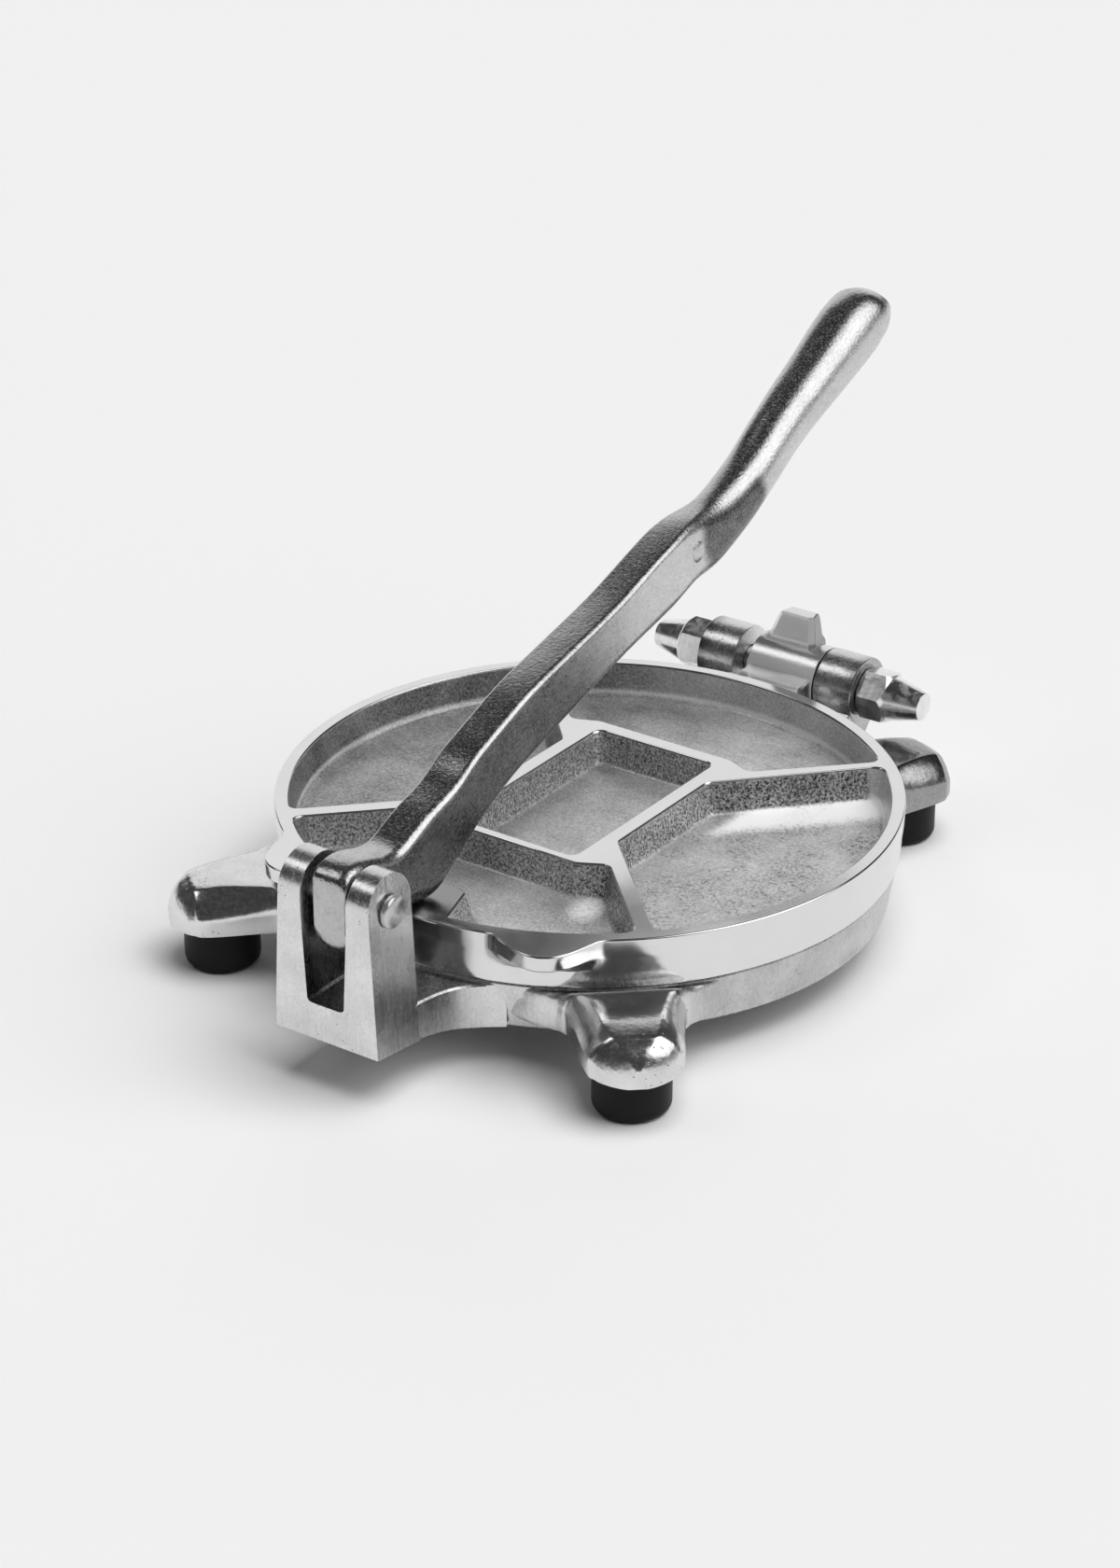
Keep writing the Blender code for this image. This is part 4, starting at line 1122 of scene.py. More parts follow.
@dataclass
class PressingPlate:
    """The hinged upper plate: rim, five wells, landing pad, thumb lips, hinge barrel and tab."""

    layout: Layout
    lathe: Lathe
    foot_taper: float = 0.0010
    edge: float = 0.0007
    rib_edge: float = 0.0005
    rim_width: float = 0.0045
    well_depth: float = 0.0110
    well_draft: float = 0.0024
    well_fillet: float = 0.0021
    floor_band: float = 0.0012
    well_corner: float = 0.0040
    centre_half: float = 0.0225
    centre_front: float = 0.0410
    centre_rear: float = 0.0377
    side_rib: float = 0.0055
    front_rib: float = 0.0030
    rear_rib: float = 0.0053
    side_half: float = 0.0250
    side_front_turn: float = math.radians(45.0)
    side_rear_turn: float = math.radians(46.7)
    end_half: float = 0.0255
    end_corner_x: float = 0.0345
    end_corner_y: float = 0.0392
    end_turn: float = math.radians(45.0)
    pad_length: float = 0.0220
    pad_inner_half: float = 0.0090
    pad_outer_half: float = 0.0140
    pad_corner: float = 0.0028
    lip_angle: float = math.radians(27.3)
    lip_half_angle: float = math.radians(9.6)
    lip_reach: float = 0.0115
    lip_thickness: float = 0.0055
    lip_height: float = 0.0110
    barrel_radius: float = 0.0113
    barrel_left: float = 0.0115
    barrel_right: float = 0.0148
    barrel_edge: float = 0.0005
    bore_radius: float = 0.00505
    arm_flare: float = 0.0045
    tab_left: float = 0.0080
    tab_right: float = 0.0099
    tab_taper: float = 0.0034
    tab_height: float = 0.0218
    tab_front: float = 0.0030
    tab_top_depth: float = 0.0064
    tab_foot_depth: float = 0.0098
    tab_round: float = 0.0010
    round_steps: int = 240
    corner_room: float = 0.080
    arc_steps: int = 48
    corner_steps: int = 9

    @property
    def well_arc(self) -> float:
        """Radius of the wells' outer wall at the top."""
        return self.layout.plate_radius - self.rim_width

    def arc(self, start: float, end: float, steps: int, soft_start: bool = True,
            soft_end: bool = True) -> list[Corner]:
        """Points along the wells' outer wall, with room at both ends for a soft corner.

        Args:
            start: angle of the first point.
            end: angle of the last point.
            steps: stretches between them.
            soft_start: whether the first point has the wells' corner radius.
            soft_end: whether the last point has it.

        Returns:
            The points in order.
        """
        first = start + self.corner_room
        last = end - self.corner_room
        angles = [start] + [first + (last - first) * step / steps for step in range(steps + 1)] + [end]
        radii = [self.well_corner * soft_start] + [0.0] * (steps + 1) + [self.well_corner * soft_end]
        reach = self.well_arc
        return [(reach * math.cos(angle), reach * math.sin(angle), soft)
                for angle, soft in zip(angles, radii)]

    def meet_arc(self, x: float, y: float, turn: float) -> float:
        """Find where a line from a point reaches the wells' outer wall.

        Args:
            x: the point's place across the plate.
            y: the point's place towards the hinge.
            turn: the line's direction.

        Returns:
            The angle of that place.
        """
        step_x = math.cos(turn)
        step_y = math.sin(turn)
        along = x * step_x + y * step_y
        missing = x * x + y * y - self.well_arc**2
        length = -along + math.sqrt(along * along - missing)
        return math.atan2(y + step_y * length, x + step_x * length)

    def soft_corners(self, *places: tuple[float, float]) -> list[Corner]:
        """Give places the wells' corner radius."""
        return [(x, y, self.well_corner) for x, y in places]

    def end_corners(self, side: int, edge_y: float) -> list[Corner]:
        """Inner corners of the rear well, or of the front one.

        Args:
            side: 1 at the rear and -1 at the front.
            edge_y: distance from the plate's axis to the well's inner side.

        Returns:
            The corners from the left to the right at the rear, and from the right to the left in front.
        """
        outer_x, outer_y = side * self.end_corner_x, side * self.end_corner_y
        inner_x, inner_y = side * self.end_half, side * edge_y
        left = (-outer_x, outer_y), (-inner_x, inner_y)
        return self.soft_corners(*left, (inner_x, inner_y), (outer_x, outer_y))

    def centre_well(self) -> list[Corner]:
        """Outline of the oblong well in the middle."""
        half, front, rear = self.centre_half, -self.centre_front, self.centre_rear
        return self.soft_corners((half, front), (half, rear), (-half, rear), (-half, front))

    def side_well(self) -> list[Corner]:
        """Outline of the right-hand well.

        Returns:
            Its corners.
        """
        inner = self.centre_half + self.side_rib
        front = self.meet_arc(inner, -self.side_half, -self.side_front_turn)
        rear = self.meet_arc(inner, self.side_half, self.side_rear_turn)
        ends = self.soft_corners((inner, self.side_half), (inner, -self.side_half))
        return self.arc(front, rear, self.arc_steps) + ends

    def rear_well(self) -> list[Corner]:
        """Outline of the well beside the hinge."""
        start = self.meet_arc(self.end_corner_x, self.end_corner_y, self.end_turn)
        rim = self.arc(start, math.pi - start, self.arc_steps)
        return rim + self.end_corners(1, self.centre_rear + self.rear_rib)

    def front_well(self) -> list[Corner]:
        """Outline of the well at the lever's side, round its landing pad.

        Returns:
            Its corners.
        """
        pad_y = self.layout.plate_radius - self.pad_length
        start = self.meet_arc(self.end_corner_x, -self.end_corner_y, -self.end_turn)
        pad = -math.acos(self.pad_outer_half / self.well_arc)
        steps = self.arc_steps // 2
        left = self.arc(-math.pi - start, -math.pi - pad, steps, soft_end=False)
        right = self.arc(pad, start, steps, soft_start=False)
        landing = [(side * self.pad_inner_half, -pad_y, self.pad_corner) for side in (-1, 1)]
        return left + landing + right + self.end_corners(-1, self.centre_front + self.front_rib)

    def well_levels(self) -> list[tuple[float, float]]:
        """Say how a well narrows on its way down.

        Returns:
            Heights of its rings with how far each is inset.
        """
        top = self.layout.plate_top
        floor = top - self.well_depth
        edge = self.rib_edge
        fillet = self.well_fillet
        low = floor + fillet
        draft = self.well_draft / self.well_depth * (self.well_depth - fillet)
        levels = [(top + OVERRUN, -edge - OVERRUN * 0.9)]
        for side, rise in swing((74.0, 52.0, 30.0, 8.0)):
            levels.append((top - edge + edge * rise, -edge + edge * side))
        levels.append((low, draft))
        for side, drop in quarter(5, range(1, 6)):
            levels.append((low - fillet * drop, draft + fillet * (1.0 - side)))
        return levels + [(floor, draft + fillet + self.floor_band)]

    def well(self, outline: Sequence[Corner]) -> Solid:
        """Make the body that hollows one well.

        Args:
            outline: the well's corners at the top.

        Returns:
            The solid.
        """
        rings = []
        for height, distance in self.well_levels():
            points = rounded(inset(outline, distance), self.corner_steps)
            rings.append([(x, y, height) for x, y in points])
        return Solid.loft("well", rings)

    def bulge(self, angle: float) -> float:
        """Say how far the thumb lips stand out at an angle round the rim.

        Args:
            angle: the angle, from minus half a turn to half a turn.

        Returns:
            Share of the lips' reach.
        """
        for side in (-1, 1):
            offset = (angle + math.pi / 2 - side * self.lip_angle) / self.lip_half_angle
            if abs(offset) < 1.0:
                return math.cos(offset * math.pi / 2) ** 1.25
        return 0.0

    def disc(self) -> Solid:
        """Make the solid disc with its thumb lips.

        Returns:
            The solid.
        """
        top = self.layout.plate_top
        foot = self.layout.plate_foot
        outer = self.layout.plate_radius
        low = outer - self.foot_taper
        lip_foot = top - self.lip_thickness
        edge = self.edge
        rows = [(foot, low - edge, 0.0), (foot + edge * 0.25, low - edge * 0.3, 0.0)]
        rows += [(foot + edge, low, 0.0), (top - self.lip_height, low + edge * 0.5, 0.0)]
        for share in (0.25, 0.5, 0.75):
            height = top - self.lip_height + (self.lip_height - self.lip_thickness - edge) * share
            rows.append((height, low + edge * 0.5 + edge * 0.6 * share, 0.78 * share**1.4))
        rows += [(lip_foot - edge, outer - edge * 0.25, 0.80), (lip_foot, outer - edge * 0.2, 0.93)]
        rows += [(lip_foot + edge, outer - edge * 0.15, 0.985), (top - edge, outer, 1.0)]
        for side, rise in swing((30.0, 60.0, 85.0)):
            rows.append((top - edge + edge * rise, outer - edge + edge * side, 1.0))
        angles = [math.tau * step / self.round_steps for step in range(self.round_steps)]
        lips = [self.lip_reach * self.bulge((angle + math.pi) % math.tau - math.pi) for angle in angles]
        rings = []
        for height, radius, share in rows:
            reaches = [radius + lip * share for lip in lips]
            rings.append([(reach * math.cos(angle), reach * math.sin(angle), height)
                          for reach, angle in zip(reaches, angles)])
        return Solid.loft("plate_disc", rings)

    def arm(self) -> Solid:
        """Make the flat arm from the rim to the barrel.

        Returns:
            The solid.
        """
        place = self.layout
        edge = self.edge
        top = place.plate_top - edge * 0.5
        low = place.plate_foot + edge
        outer = place.plate_radius
        barrel = self.barrel_radius
        rows = (
            (self.well_arc, self.arm_flare, low, top),
            (outer - edge, self.arm_flare * 0.45, low, top),
            (outer + self.rim_width * 0.5, self.arm_flare * 0.10, low, top - edge * 0.3),
            (outer + self.rim_width, 0.0, low + edge, top - edge * 0.6),
            (place.hinge_y - barrel * 0.6, 0.0, place.hinge_z - barrel * 0.7, place.hinge_z + barrel * 0.42),
        )
        rings = []
        for along, flare, bottom, height in threaded(rows, 4):
            left = -self.barrel_left - flare + edge
            right = self.barrel_right + flare - edge
            rings.append(beam(left, right, along, bottom, height, edge))
        return Solid.loft("plate_arm", rings)

    def barrel(self) -> Solid:
        """Make the hinge barrel with softened ends."""
        radius = self.barrel_radius
        profile = soft_drum(radius, radius, -self.barrel_left, self.barrel_right, self.barrel_edge)
        return self.lathe.turn("barrel", profile, 96, self.layout.hinge)

    def tab(self) -> Solid:
        """Make the upright tab on the barrel.

        Returns:
            The solid.
        """
        place = self.layout
        edge = self.edge
        wide = self.tab_foot_depth
        slim = self.tab_top_depth
        taper = self.tab_taper
        front = place.hinge_y - self.tab_front
        seat = place.hinge_z + self.barrel_radius
        top = place.hinge_z + self.tab_height
        rows = (
            (place.hinge_z + self.barrel_radius * 0.7, -edge * 5.0, wide + edge * 2, -edge * 1.6),
            (seat - edge * 0.6, -edge * 4.0, wide + edge, -edge * 1.2),
            (seat + edge * 0.8, -edge * 1.6, wide + edge * 0.4, -edge * 0.4),
            (seat + edge * 2.6, 0.0, wide * 0.92, 0.0),
            (top - edge * 4.0, taper * 0.75, slim + edge * 2.5, edge * 0.8),
            (top - edge * 1.6, taper, slim + edge * 1.5, edge),
            (top - edge * 0.5, taper + edge, slim + edge * 0.5, edge * 1.2),
            (top, taper + edge * 2.6, slim - edge, edge * 1.5),
        )
        rings = []
        for height, narrowing, depth, setback in rows:
            left = -self.tab_left + narrowing
            right = self.tab_right - narrowing / 4
            near = front + setback
            far = front + depth
            chamfer = depth / 5
            outline = (
                (left + chamfer, near), (right - chamfer, near), (right, near + chamfer),
                (right - chamfer, far), (left + chamfer, far), (left, near + chamfer),
            )
            rings.append([(x, y, height) for x, y in outline])
        return Solid.loft("plate_tab", rings).bevel(self.tab_round, 4, 24.0)

    def build(self) -> bpy.types.Object:
        """Make the whole plate in one casting.

        Returns:
            The finished plate.
        """
        shift = self.layout.shift
        finish = PlateFinish(shift.y, self.layout.plate_top, self.well_depth, self.well_arc)
        material = self.lathe.load(finish)
        body = self.disc().join(self.arm()).join(self.barrel()).join(self.tab())
        side = self.side_well()
        mirrored = [(-x, y, soft) for x, y, soft in reversed(side)]
        for outline in (self.centre_well(), side, mirrored, self.front_well(), self.rear_well()):
            body.cut(self.well(outline))
        reach = self.barrel_right + OVERRUN
        bore = drum(self.bore_radius, -reach, reach)
        body.cut(self.lathe.turn("barrel_bore", bore, 64, self.layout.hinge, math.pi / 64))
        return body.dress("pressing_plate", material, shift)


@dataclass
class CastBase:
    """The base: skirted disc, four foot lobes, the lever's clevis and the hinge knuckles."""

    layout: Layout
    lathe: Lathe
    setback: float = 0.0017
    taper: float = 0.0023
    wall: float = 0.0045
    ceiling: float = 0.0055
    edge: float = 0.0006
    lobe_under: float = 0.0153
    lobe_crown: float = 0.0149
    rear_fullness: float = 1.10
    lobe_outreach: float = 0.0209
    lobe_radius: float = 0.0158
    front_angle: float = math.radians(49.2)
    rear_angle: float = math.radians(64.3)
    clevis_standoff: float = 0.0155
    clevis_depth: float = 0.0203
    clevis_top_half: float = 0.0167
    clevis_foot_half: float = 0.0191
    clevis_lift: float = 0.0047
    clevis_slope: float = 0.124
    clevis_edge: float = 0.0007
    ear_rise: float = 0.0013
    ear_steps: int = 19
    slot_top_half: float = 0.0084
    slot_foot_half: float = 0.0068
    slot_lift: float = 0.0010
    pin_bore: float = 0.0041
    post_lift: float = 0.0020
    post_root: float = 0.0040
    ledge_drop: float = 0.0006
    knuckle_radius: float = 0.0115
    knuckle_length: float = 0.0147
    right_inner: float = 0.0152
    left_inner: float = 0.0165
    rod_bore: float = 0.00505
    stem_bore: float = 0.0043
    stem_top: float = 0.0213
    round_steps: int = 192

    @property
    def radius(self) -> float:
        """Radius of the disc at its top."""
        return self.layout.plate_radius - self.setback

    @property
    def inner(self) -> float:
        """Radius of the hollow underneath."""
        return self.radius - self.taper - self.wall

    @property
    def lobe_reach(self) -> float:
        """Distance from the plate's axis to a foot's axis."""
        return self.radius + self.lobe_outreach

    @property
    def clevis_back(self) -> float:
        """Distance from the plate's axis to the clevis's back."""
        return self.layout.plate_radius + self.clevis_standoff

    @property
    def clevis_front(self) -> float:
        """Distance from the plate's axis to the clevis's front."""
        return self.clevis_back + self.clevis_depth

    @property
    def clevis_foot(self) -> float:
        """Height of the clevis's front lower edge."""
        return self.layout.base_foot + self.clevis_lift

    @property
    def ear_centre(self) -> float:
        """Height of the middle of the ears' round tops."""
        return self.layout.pin_z + self.ear_rise

    def clevis_under(self, along: float) -> float:
        """Height of the sloping underside at a distance from the plate's axis."""
        return self.clevis_foot - (self.clevis_front - along) * self.clevis_slope

    def clevis_half(self, height: float) -> float:
        """Half the clevis's width at a height."""
        share = (height - self.clevis_foot) / (self.ear_centre - self.clevis_foot)
        return self.clevis_foot_half + (self.clevis_top_half - self.clevis_foot_half) * share

    def lobe_angles(self) -> tuple[float, float, float, float]:
        """Directions of the four lobes."""
        return (-self.front_angle, math.pi + self.front_angle, self.rear_angle, math.pi - self.rear_angle)

    def disc(self) -> Solid:
        """Make the solid disc with tapered side."""
        low = self.radius - self.taper
        profile = soft_drum(low, self.radius, self.layout.base_foot, self.layout.base_top, self.edge)
        return self.lathe.turn("base_disc", profile, self.round_steps, upright(0.0, 0.0))

    def lobe(self, angle: float) -> Solid:
        """Make one foot lobe with a flat crown, sloping shoulders and a round nose.

        Args:
            angle: the lobe's direction from the plate's axis.

        Returns:
            The solid.
        """
        crown_height = self.lobe_crown * (self.rear_fullness if 0.0 < angle < math.pi else 1.0)
        beyond = self.radius + self.post_root
        reach = self.lobe_reach
        size = self.lobe_radius
        low_share = (self.layout.base_top - self.ledge_drop - self.lobe_under) / crown_height
        # Distance from the plate's axis, then width, height, crown and shoulder as shares
        rows = (
            (self.inner - self.edge, 2.10, low_share, 0.95, 0.72),
            (self.radius - self.edge * 2, 1.66, low_share, 0.93, 0.70),
            (self.radius + self.edge * 2, 1.41, low_share * 1.01, 0.90, 0.68),
            (beyond, 1.22, 0.95, 0.84, 0.63),
            (beyond + size * 0.36, 1.07, 0.99, 0.72, 0.57),
            (reach, 1.00, 0.99, 0.56, 0.50),
            (reach + size * 0.36, 0.95, 0.95, 0.50, 0.48),
            (reach + size * 0.66, 0.80, 0.85, 0.44, 0.45),
            (reach + size * 0.87, 0.58, 0.69, 0.34, 0.40),
            (reach + size * 0.99, 0.36, 0.50, 0.22, 0.34),
            (reach + size * 1.04, 0.20, 0.38, 0.12, 0.30),
        )
        outward = Vector((math.cos(angle), math.sin(angle), 0.0))
        across = Vector((-math.sin(angle), math.cos(angle), 0.0))
        up = Vector((0.0, 0.0, 1.0))
        rings = []
        for along, width, top, crown_share, shoulder_share in threaded(rows, 4):
            half = self.lobe_section(width * size, top * crown_height, crown_share, shoulder_share)
            section = half + [(-offset, height) for offset, height in reversed(half)]
            places = [outward * along + across * offset + up * (self.lobe_under + height)
                      for offset, height in section]
            rings.append([tuple(place) for place in places])
        return Solid.loft("lobe", rings)

    def lobe_section(self, side: float, tall: float, crown_share: float,
                     shoulder_share: float) -> list[tuple[float, float]]:
        """Points up one half of a lobe's section.

        Args:
            side: half the lobe's width.
            tall: its height.
            crown_share: half the crown's width as a share of half the lobe's.
            shoulder_share: the shoulder's height as a share of the lobe's.

        Returns:
            Offsets across and up, from the foot to the crown.
        """
        crown = crown_share * side
        slope = (side + crown) / 2
        shoulder = shoulder_share * tall
        return [
            (side * 0.90, 0.0),
            (side * 0.97, shoulder * 0.07),
            (side, shoulder * 0.24),
            (side, shoulder * 0.80),
            (side * 0.985, shoulder + (tall - shoulder) * 0.10),
            (slope + (side - crown) * 0.10, (shoulder + tall) / 2 + (tall - shoulder) * 0.10),
            (crown + (side - crown) * 0.12, tall * 0.965),
            (crown * 0.90, tall * 0.992),
            (crown * 0.5, tall),
        ]

    def clevis(self) -> Solid:
        """Make the slotted clevis with its round top and softened edges.

        Returns:
            The solid.
        """
        radius = self.clevis_depth / 2
        middle = self.clevis_back + radius
        front = self.clevis_under(self.clevis_front)
        back = self.clevis_under(self.clevis_back)
        rings = [block(self.clevis_half(front), -self.clevis_front, -self.clevis_back, front, back)]
        # The last step stops just short of the top, so that its face stays open
        for side, rise in quarter(self.ear_steps - 0.4, range(self.ear_steps)):
            height = self.ear_centre + radius * rise
            reach = radius * side
            rings.append(block(self.clevis_half(height), -middle - reach, -middle + reach, height))
        return Solid.loft("clevis", rings).cut(self.slot()).bevel(self.clevis_edge, 4, 40.0)

    def slot(self) -> Solid:
        """Make the tapered body that opens the clevis from front to back.

        Returns:
            The solid.
        """
        near = -self.clevis_front - OVERRUN
        far = -self.clevis_back + OVERRUN
        floor = self.layout.base_top + self.slot_lift
        levels = (
            (floor, self.slot_foot_half * 0.72),
            (floor + self.edge * 0.5, self.slot_foot_half * 0.90),
            (floor + self.edge * 1.8, self.slot_foot_half),
            (self.layout.pin_z - self.pin_bore, self.slot_top_half),
            (self.ear_centre + self.clevis_depth, self.slot_top_half),
        )
        return Solid.loft("slot", [block(half, near, far, height) for height, half in levels])

    def web(self) -> Solid:
        """Make the flared web from the clevis to the disc's side.

        Returns:
            The solid.
        """
        top = self.layout.base_top - self.ledge_drop * 1.5
        start = self.clevis_back + self.edge * 2
        run = start - self.inner
        # Share of the way to the disc, and width as a share of the clevis's
        shares = ((0.0, 0.97), (0.12, 0.99), (0.34, 1.05), (0.58, 1.17), (0.78, 1.38), (1.0, 1.75))
        rings = []
        for share, flare in threaded(shares, 5):
            along = start - run * share
            half = self.clevis_foot_half * flare
            bottom = max(self.clevis_under(along), self.layout.base_foot) + self.edge * 0.5
            rings.append(beam(-half, half, -along, bottom, top, self.edge))
        return Solid.loft("clevis_web", rings)

    def post(self, left: float, right: float) -> Solid:
        """Make one hinge post with its knuckle.

        Args:
            left: its left face's place along the hinge.
            right: its right face's place.

        Returns:
            The solid.
        """
        place = self.layout
        size = self.knuckle_radius
        edge = self.edge
        low = place.base_foot + self.post_lift
        ledge = place.base_top - self.ledge_drop * 2
        outline = (
            (self.inner, low),
            (self.radius + self.post_root, low),
            (place.hinge_y - edge * 2.5, ledge - self.post_root * 0.8),
            (place.hinge_y + size * 0.72, place.hinge_z - size * 0.66),
            (place.hinge_y, place.hinge_z),
            (place.hinge_y - size * 0.86, place.hinge_z - size * 0.45),
            (self.radius + self.post_root * 1.4, place.base_top + self.post_root * 0.5),
            (self.radius + self.post_root * 0.6, ledge),
            (self.inner, ledge),
        )
        rings = [[(x, y, z) for y, z in outline] for x in (left + edge / 2, right - edge / 2)]
        knuckle = self.lathe.turn("knuckle", soft_drum(size, size, left, right, edge), 96, place.hinge)
        return Solid.loft("post", rings).bevel(edge, 3, 20.0).join(knuckle)

    def hollow(self) -> Solid:
        """Make the body that hollows the disc from below.

        Returns:
            The solid.
        """
        foot = self.layout.base_foot - OVERRUN
        top = self.layout.base_top - self.ceiling
        edge = self.edge
        profile = [(0.0, foot), (self.inner, foot), (self.inner - edge * 2, top - edge * 2)]
        profile += [(self.inner - edge * 2.6, top - edge * 0.6), (self.inner - edge * 4, top), (0.0, top)]
        return self.lathe.turn("hollow", profile, self.round_steps // 2, upright(0.0, 0.0), 0.01)

    def build(self) -> bpy.types.Object:
        """Make the whole base in one casting.

        Returns:
            The finished base.
        """
        place = self.layout
        material = self.lathe.load(BaseFinish(place.shift.y, self.radius, self.clevis_foot_half))
        body = self.disc()
        for angle in self.lobe_angles():
            body.join(self.lobe(angle))
        body.join(self.web()).join(self.clevis())
        body.join(self.post(self.right_inner, self.right_inner + self.knuckle_length))
        body.join(self.post(-self.left_inner - self.knuckle_length, -self.left_inner))
        body.cut(self.hollow())
        reach = self.left_inner + self.knuckle_length + OVERRUN
        for radius, line in ((self.pin_bore, place.pin), (self.rod_bore, place.hinge)):
            body.cut(self.lathe.turn("bore", drum(radius, -reach, reach), 64, line, math.pi / 64))
        hole = drum(self.stem_bore, 0.0, self.stem_top)
        for angle in self.lobe_angles():
            spot = upright(self.lobe_reach * math.cos(angle), self.lobe_reach * math.sin(angle))
            body.cut(self.lathe.turn("stem_hole", hole, 32, spot))
        return body.dress("cast_base", material, place.shift)


@dataclass
class LeverBar:
    """The lever: hub, pressing heel, bar and swollen round grip."""

    layout: Layout
    lathe: Lathe
    reach: float = 0.2900
    half_width: float = 0.0065
    bar_round: float = 0.24
    right_edge: float = 0.0025
    shoulder: float = 0.0018
    shoulder_start: float = 0.02
    shoulder_reach: float = 0.20
    left_edge: float = 0.0014
    crown: float = 0.00022
    grip_start: float = 0.560
    grip_blend: float = 0.110
    low_steps: int = 7
    top_steps: int = 9
    hub_bore: float = 0.0041
    tip_edge: float = 0.0022
    knob_radius: float = 0.0070
    knob_rise: float = 0.0015
    knob_start: float = 42.0
    knob_steps: int = 12
    knob_share: tuple[float, float] = (0.6080, 0.1690)
    neck_share: tuple[float, float] = (0.6760, 0.1840)
    # Shares of the reach from the rivet, along Y and up: of the back, then of the underside.
    # The last two are the width and how deep the lower edges are rounded.
    stations: tuple[tuple[float, ...], ...] = (
        (-0.0262, 0.0190, -0.0262, -0.0362, 0.83, 0.18),
        (-0.0236, 0.0276, -0.0238, -0.0476, 0.94, 0.20),
        (-0.0138, 0.0355, -0.0159, -0.0572, 0.98, 0.21),
        (0.0000, 0.0390, -0.0014, -0.0610, 0.98, 0.22),
        (0.0259, 0.0352, 0.0262, -0.0614, 0.98, 0.24),
        (0.0486, 0.0286, 0.0452, -0.0576, 1.00, 0.26),
        (0.0641, 0.0272, 0.0624, -0.0500, 1.00, 0.27),
        (0.0772, 0.0300, 0.0786, -0.0459, 1.00, 0.28),
        (0.0903, 0.0355, 0.0928, -0.0472, 1.00, 0.30),
        (0.1021, 0.0407, 0.1069, -0.0521, 1.00, 0.31),
        (0.1145, 0.0459, 0.1176, -0.0555, 1.00, 0.32),
        (0.1279, 0.0503, 0.1303, -0.0555, 1.00, 0.32),
        (0.1434, 0.0548, 0.1441, -0.0490, 1.00, 0.33),
        (0.1624, 0.0614, 0.1641, -0.0331, 1.00, 0.34),
        (0.1969, 0.0810, 0.2072, -0.0062, 1.00, 0.36),
        (0.2366, 0.0969, 0.2538, 0.0179, 1.00, 0.38),
        (0.2952, 0.1183, 0.3141, 0.0393, 1.00, 0.39),
        (0.3628, 0.1352, 0.3831, 0.0607, 1.00, 0.41),
        (0.4607, 0.1593, 0.4797, 0.0883, 1.00, 0.43),
        (0.5503, 0.1890, 0.5693, 0.1090, 1.00, 0.45),
        (0.5969, 0.2021, 0.6124, 0.1228, 1.05, 0.46),
        (0.6476, 0.2090, 0.6652, 0.1310, 1.23, 0.48),
        (0.6893, 0.2203, 0.7183, 0.1555, 1.32, 0.50),
        (0.7307, 0.2379, 0.7631, 0.1831, 1.35, 0.50),
        (0.7752, 0.2662, 0.8062, 0.2107, 1.38, 0.50),
        (0.8200, 0.2924, 0.8497, 0.2328, 1.45, 0.50),
        (0.8641, 0.3159, 0.8952, 0.2514, 1.54, 0.50),
        (0.9079, 0.3414, 0.9417, 0.2714, 1.66, 0.50),
        (0.9400, 0.3572, 0.9745, 0.2869, 1.69, 0.50),
        (0.9666, 0.3634, 0.9962, 0.3041, 1.60, 0.50),
        (0.9862, 0.3593, 1.0041, 0.3221, 1.30, 0.50),
    )

    def spot(self, share_y: float, share_z: float) -> Vector:
        """Place in the lever's middle plane at shares of the reach from the rivet."""
        place = self.layout
        return Vector((0.0, place.pin_y + share_y * self.reach, place.pin_z + share_z * self.reach))

    def section(self, along: float, half: float, height: float, depth: float) -> list[tuple[float, float]]:
        """Points round the lever in its own width and height.

        Args:
            along: share of the reach, which tells the bar from the grip.
            half: half the width here.
            height: height here.
            depth: how deep the lower edges are rounded, as a share of the height.

        Returns:
            Offsets across and up, from the middle of the underside round by the right.
        """
        share = min(1.0, max(0.0, (along - self.grip_start) / self.grip_blend))
        grip = share * share * (3.0 - 2.0 * share)
        low = depth * grip + min(depth, self.bar_round) * (1.0 - grip)
        turns = quarter(self.low_steps, range(1, self.low_steps + 1))
        points = [(half * side, height * low * (1.0 - rise)) for rise, side in turns]
        near_hub = 1.0 - min(1.0, max(0.0, (along - self.shoulder_start) / self.shoulder_reach))
        shoulder = self.right_edge + self.shoulder * near_hub * near_hub * (3.0 - 2.0 * near_hub)
        right = points + self.top_corner(shoulder, half, height, grip)
        left = points + self.top_corner(self.left_edge, half, height, grip)
        return [(0.0, 0.0)] + right + [(0.0, height)] + [(-side, up) for side, up in reversed(left)]

    def top_corner(self, edge: float, half: float, height: float, grip: float) -> list[tuple[float, float]]:
        """Points round one upper edge, sharp on the bar and as round as a ball on the grip.

        Args:
            edge: the edge's radius on the bar.
            half: half the width here.
            height: height here.
            grip: 0 on the bar and 1 on the grip.

        Returns:
            Offsets across and up, from the side to the top.
        """
        spread = edge * (1.0 - grip) + half * grip
        drop = edge * 0.8 * (1.0 - grip) + height * 0.5 * grip
        crown = self.crown * (1.0 - grip)
        points = []
        for out, rise in quarter(self.top_steps, range(self.top_steps)):
            side = half - spread + spread * out
            points.append((side, height - crown * (side / half) ** 2 - drop * (1.0 - rise)))
        return points

